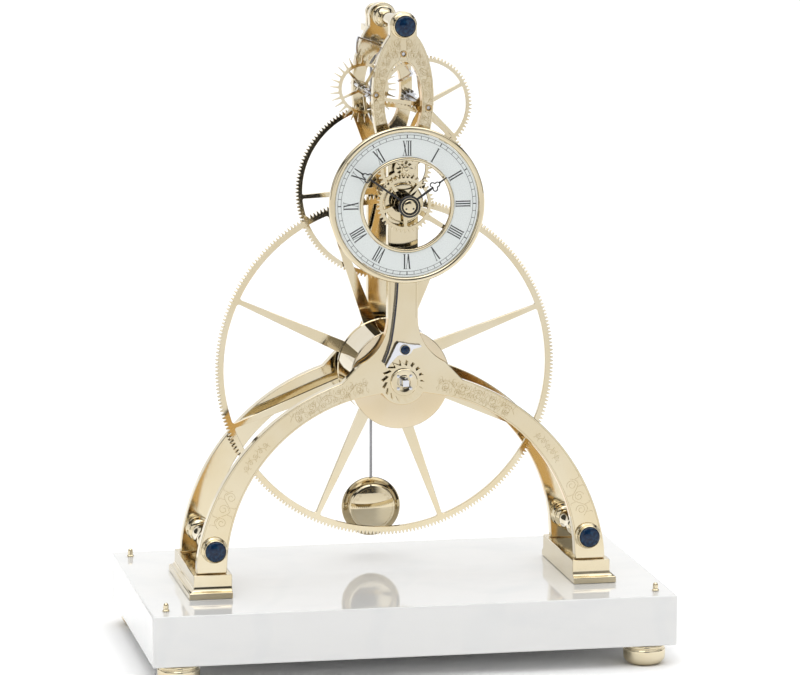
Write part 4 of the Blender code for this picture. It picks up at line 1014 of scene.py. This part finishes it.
def glyph(kind, at_x):
    """Strokes of one letter as four corners each; at_x is its left edge, and heights run 0 to 1."""
    thick, thin, serif, foot = 0.105, 0.035, 0.028, 0.05
    if kind == "I":
        left = at_x + foot
        strokes = [slant(left, left + thick, left, left + thick)]
        strokes += [bar(at_x, at_x + thick + 2 * foot, low, low + serif) for low in (0, 1 - serif)]
        return strokes, thick + 2 * foot
    width = 0.46
    left, right, middle = at_x + foot, at_x + width - foot, at_x + width / 2
    if kind == "V":
        strokes = [
            slant(middle - thick / 2, middle + thick / 2, left, left + thick),
            slant(middle - thin, middle + thin / 2, right - thin, right),
        ]
        feet = ()
    else:
        strokes = [
            slant(right - thick, right, left, left + thick),
            slant(left, left + thin, right - thin, right),
        ]
        feet = (at_x, at_x + width - 0.2)
    strokes += [bar(x, x + 0.18, 1 - serif, 1) for x in (at_x, at_x + width - 0.16)]
    strokes += [bar(x, x + 0.18, 0, serif) for x in feet]
    return strokes, width


def build_numerals(looks, place):
    """Roman numerals, upright along the radius, as thin raised enamel."""
    bm = bmesh.new()
    inner, height = 35.4, 10.8
    for hour, word in enumerate(("XII", "I", "II", "III", "IIII", "V", "VI", "VII", "VIII", "IX", "X", "XI")):
        strokes, cursor = [], 0
        for letter in word:
            more, width = glyph(letter, cursor)
            strokes += more
            cursor += width + (0.015 if letter == "I" else -0.02)
        turn = math.radians(30 * hour)
        squeeze = 0.72 if len(word) > 2 else 0.8
        for layer, stroke in enumerate(strokes):
            rings = []
            for depth in (DIAL_FACE - 0.05 - 0.004 * (layer % 3), DIAL_FACE + 0.02):
                ring = []
                for x, z in stroke:
                    across, out = (x - cursor / 2) * squeeze * height, inner + z * height
                    spot_x = across * math.cos(turn) + out * math.sin(turn)
                    spot_z = out * math.cos(turn) - across * math.sin(turn)
                    ring.append(new_vert(bm, spot_x, depth, spot_z))
                rings.append(ring)
            add_shell(bm, rings)
    detail(to_object("dial_numerals", bm, looks.ink, place), "frame", "dial_white")


def build_minute_track(looks, place):
    """Two thin circles with sixty ticks between them."""
    bm = bmesh.new()
    front, back = DIAL_FACE - 0.05, DIAL_FACE + 0.02
    low, high = 48, 50.4
    for radius in (high, low):
        inner, outer = radius - 0.13, radius + 0.13
        add_turned(bm, [(inner, back), (inner, front), (outer, front), (outer, back)], 180)
    for minute in range(60):
        half = 0.34 if minute % 5 == 0 else 0.16
        verts = add_box(bm, (-half, front, low), (half, back, high))
        turn = Matrix.Rotation(math.radians(6 * minute), 3, "Y")
        bmesh.ops.rotate(bm, verts=verts, matrix=turn)
    detail(to_object("dial_minute_track", bm, looks.ink, place), "frame", "dial_white")


def hand_loops(length, height, lobe, stem, hub, bore):
    """A slender hand with a pierced trefoil, tapering past it to a point."""
    spread = lobe * 1.05
    outer, inner = [], []
    for turn in (-30, 90, 210):
        middle = polar(spread, turn, (0, height))
        outer.append(arc(middle, lobe, turn - 104, turn + 104, 16))
        inner += arc(middle, lobe * 0.62, turn - 122, turn + 122, 16)
    right, top, left = outer
    half = len(top) // 2
    low, neck = height - spread - lobe * 0.9, height + spread + lobe * 1.5
    loop = arc(ORIGIN, hub, 96, 444, 60)
    loop += [(stem, low)] + right + top[:half - 1]
    loop += [(stem * 0.7, neck), (stem * 0.5, length - stem), (0, length)]
    loop += [(-stem * 0.5, length - stem), (-stem * 0.7, neck)]
    loop += top[half + 2:] + left + [(-stem, low)]
    return [loop, inner, hole(bore, 40)]


def build_hands(looks):
    for name, sizes, planes, turn in (
        ("hour_hand_v", (34.6, 23.8, 2, 0.85, 7, 5.3), (-73.2, -72.2), 54.6),
        ("minute_hand_v", (48.6, 37, 2, 0.7, 6.6, 3.7), (-75.4, -74.4), 305.3),
    ):
        hand = prism(name, hand_loops(*sizes), planes, looks.black, (0, CENTRE[1]), 0.12)
        hand.rotation_euler = (0, math.radians(turn), 0)
        bpy.context.view_layer.update()
        stand_for(hand)
    spot = at(CENTRE)
    ring = rounded([(5, -76.7), (5, -77.6), (5.6, -78.1), (7.3, -78.1), (8, -77.5), (8, -76.7)], 0.3)
    stand_for(turned("hand_nut_v", ring, looks.black, spot, 72))
    groove = [(6.1, -78), (6.15, -78.3), (6.45, -78.3), (6.5, -78)]
    detail(turned("hand_nut_line", groove, looks.gold, spot, 72), "centre", "gold")
    cap = rounded([(0, -76.7), (4.8, -76.7), (4.8, -77.8), (4.2, -78.3), (2.4, -78.5), (0, -78.5)], 0.25)
    detail(turned("hand_cap", cap, looks.gold_satin, spot, 56), "centre", "gold")
    bm = bmesh.new()
    for turn in (90, 210, 330):
        pin = [(0, -78.3), (0.7, -78.3), (0.7, -78.55), (0, -78.6)]
        add_turned(bm, pin, 16, place=at(polar(3, turn)))
    detail(to_object("hand_cap_pins", bm, looks.black, spot), "centre", "steel")


# ---------------- pendulum


def build_suspension(looks):
    x, z = PILLAR_TOP
    bm = bmesh.new()
    sleeve = rounded([
        (4.4, 32.6), (7.2, 32.6), (7.2, 35), (5.8, 36.4), (5.8, 46.4), (7, 48), (7, 50),
        (4.4, 50),
    ], 0.5)
    add_turned(bm, sleeve, 56, place=(x, 0, z))
    outline = [(-7, 437.1), (7, 437.1)] + arc((x, z), 7.4, -20, 200, 30)
    add_prism(bm, [outline, circle((x, z), 4.4, 40), circle(PALLETS, 1.6, 24)], (50, 56))
    low, high = 449, 454
    for left, right, front, back in (
        (-7, -4.2, 56, 73.5), (4.2, 7, 56, 73.5), (-4.2, 4.2, 56, 68), (-4.2, 4.2, 70, 73.5),
    ):
        add_box(bm, (left, front, low), (right, back, high))
    stand_for(to_object("suspension_cock_v", bm, looks.gold, bevel=0.3))
    stand_for(blind_nut("cock_nut_v", 56.3, 6.8, looks.gold, (x, 0, z)))

    bm = bmesh.new()
    add_box(bm, (-3.4, 68.8, 436), (3.4, 69.2, 449))
    add_box(bm, (-3.4, 68.2, 449.4), (3.4, 69.8, 455))
    stand_for(to_object("suspension_spring_v", bm, looks.steel, bevel=0.08))


def build_pendulum(looks):
    y = PENDULUM_Y
    nut_z = BOB_Z - 9
    bm = bmesh.new()
    add_box(bm, (-4.4, 66.8, 424), (4.4, 71.2, 436))
    rod = [(0, 424.4), (1.1, 424.4), (1.1, nut_z - 6), (0, nut_z - 6)]
    add_turned(bm, rod, 28, upright=True, place=(0, y, 0))
    screw = rounded([(0, 66.9), (1, 66.9), (1, 66.4), (0, 66.2)], 0.15)
    for x in (-2.4, 2.4):
        add_turned(bm, screw, 20, place=(x, 0, 430))
    stand_for(to_object("pendulum_rod_v", bm, looks.steel_dark, bevel=0.25))

    lens = [
        (0, 7.5), (8, 7.3), (14, 6.4), (19, 4.4), (22, 1.8), (BOB_RADIUS, 0.6), (22.3, -0.8),
        (21.9, -1.8), (21.3, -2.6), (18.2, -4.9), (17.7, -5), (17.4, -5.4), (17.2, -6.6), (16.9, -7.3),
        (16.2, -7.5), (0, -7.5),
    ]
    profile = [(radius, y + offset) for radius, offset in lens]
    bob = turned("pendulum_bob_v", profile, looks.gold_mirror, (0, 0, BOB_Z), 128)
    # the front bevel's darker gold is painted reflection
    bob.data.materials.append(looks.gold_band)
    for face in bob.data.polygons:
        radius = math.hypot(face.center.x, face.center.z) / MM
        if face.center.y / MM < y and radius > 17.5:
            face.material_index = 1
    stand_for(bob)
    ring = hole(15.2, 90)
    curls = [ring + ring[:1]]
    for k in range(9):
        turn, hand = 30 + 15 * k, 1 if k % 2 else -1
        curls.append(spiral(polar(13.6, turn), 1.1, turn + 90 * hand, 1.2 * hand, 14))
    strands = [[(x, y - 7.505, BOB_Z + z) for x, z in curl] for curl in curls]
    detail(line("bob_scrollwork", strands, 0.09, looks.gold_engraved), "pendulum", "gold")

    nut = [(1.5, 2.2), (4.5, 2.2), (4.8, 1.8), (4.8, -1.8), (4.5, -2.2), (1.5, -2.2)]
    nut = rounded([(radius, nut_z + offset) for radius, offset in nut], 0.2)
    stand_for(turned("rating_nut_v", nut, looks.gold, (0, y, 0), 48, upright=True))


def main():
    gold, brushed = (0.715, 0.635, 0.465), (1, 1, 0.25)
    looks = SimpleNamespace(
        gold=make_gold("polished_gold", gold, 0.03, 0.07),
        gold_satin=make_gold("satin_gold", gold, 0.06, 0.11, brushed, 0.05),
        gold_rose=make_gold("rose_gold", (0.71, 0.612, 0.445), 0.07, 0.12, brushed, 0.05),
        # a deeper gold used as painted shade and painted reflection on the plates
        gold_deep=make_gold("deep_gold", (0.67, 0.46, 0.2), 0.05, 0.1),
        gold_mirror=make_gold("mirror_gold", gold, 0.02, 0.05, bump=0.02),
        # a darker gold used as painted reflection on the bob's bevel
        gold_band=make_gold("band_gold", (0.42, 0.35, 0.22), 0.03, 0.06),
        gold_dark=make_gold("shaded_gold", (0.55, 0.38, 0.17), 0.15, 0.25),
        gold_engraved=make_gold("engraved_gold", (0.46, 0.35, 0.18), 0.3, 0.45),
        steel=make_steel("polished_steel", (0.56, 0.57, 0.6), 0.1, 0.22),
        steel_bright=make_steel("bright_steel", (0.7, 0.71, 0.74), 0.05, 0.12),
        steel_dark=make_steel("dark_steel", (0.3, 0.31, 0.33), 0.12, 0.22),
        blued=make_steel("blued_steel", (0.05, 0.055, 0.07), 0.18, 0.3),
        # black lacquer for the hands and nut; also painted shade on the dial's back
        black=make_paint("black_lacquer", (0.012, 0.012, 0.014), 0.18, 0.3),
        ink=make_paint("black_enamel", (0.02, 0.02, 0.022), 0.3, 0.45),
        marble=make_marble(),
        lapis=make_lapis(),
        dial=make_paint("dial_enamel", (0.77, 0.81, 0.795), 0.22, 0.34, 1500, 0.1),
        floor=make_floor_look(),
    )
    make_camera()
    make_world()
    make_lights()
    make_floor(looks.floor)
    for build in (
        build_base, build_plates, build_engraving, build_pillars, build_barrel, build_winding_work,
        build_great_wheel, build_train, build_anchor, build_motion_work, build_dial, build_hands,
        build_suspension, build_pendulum,
    ):
        build(looks)


main()
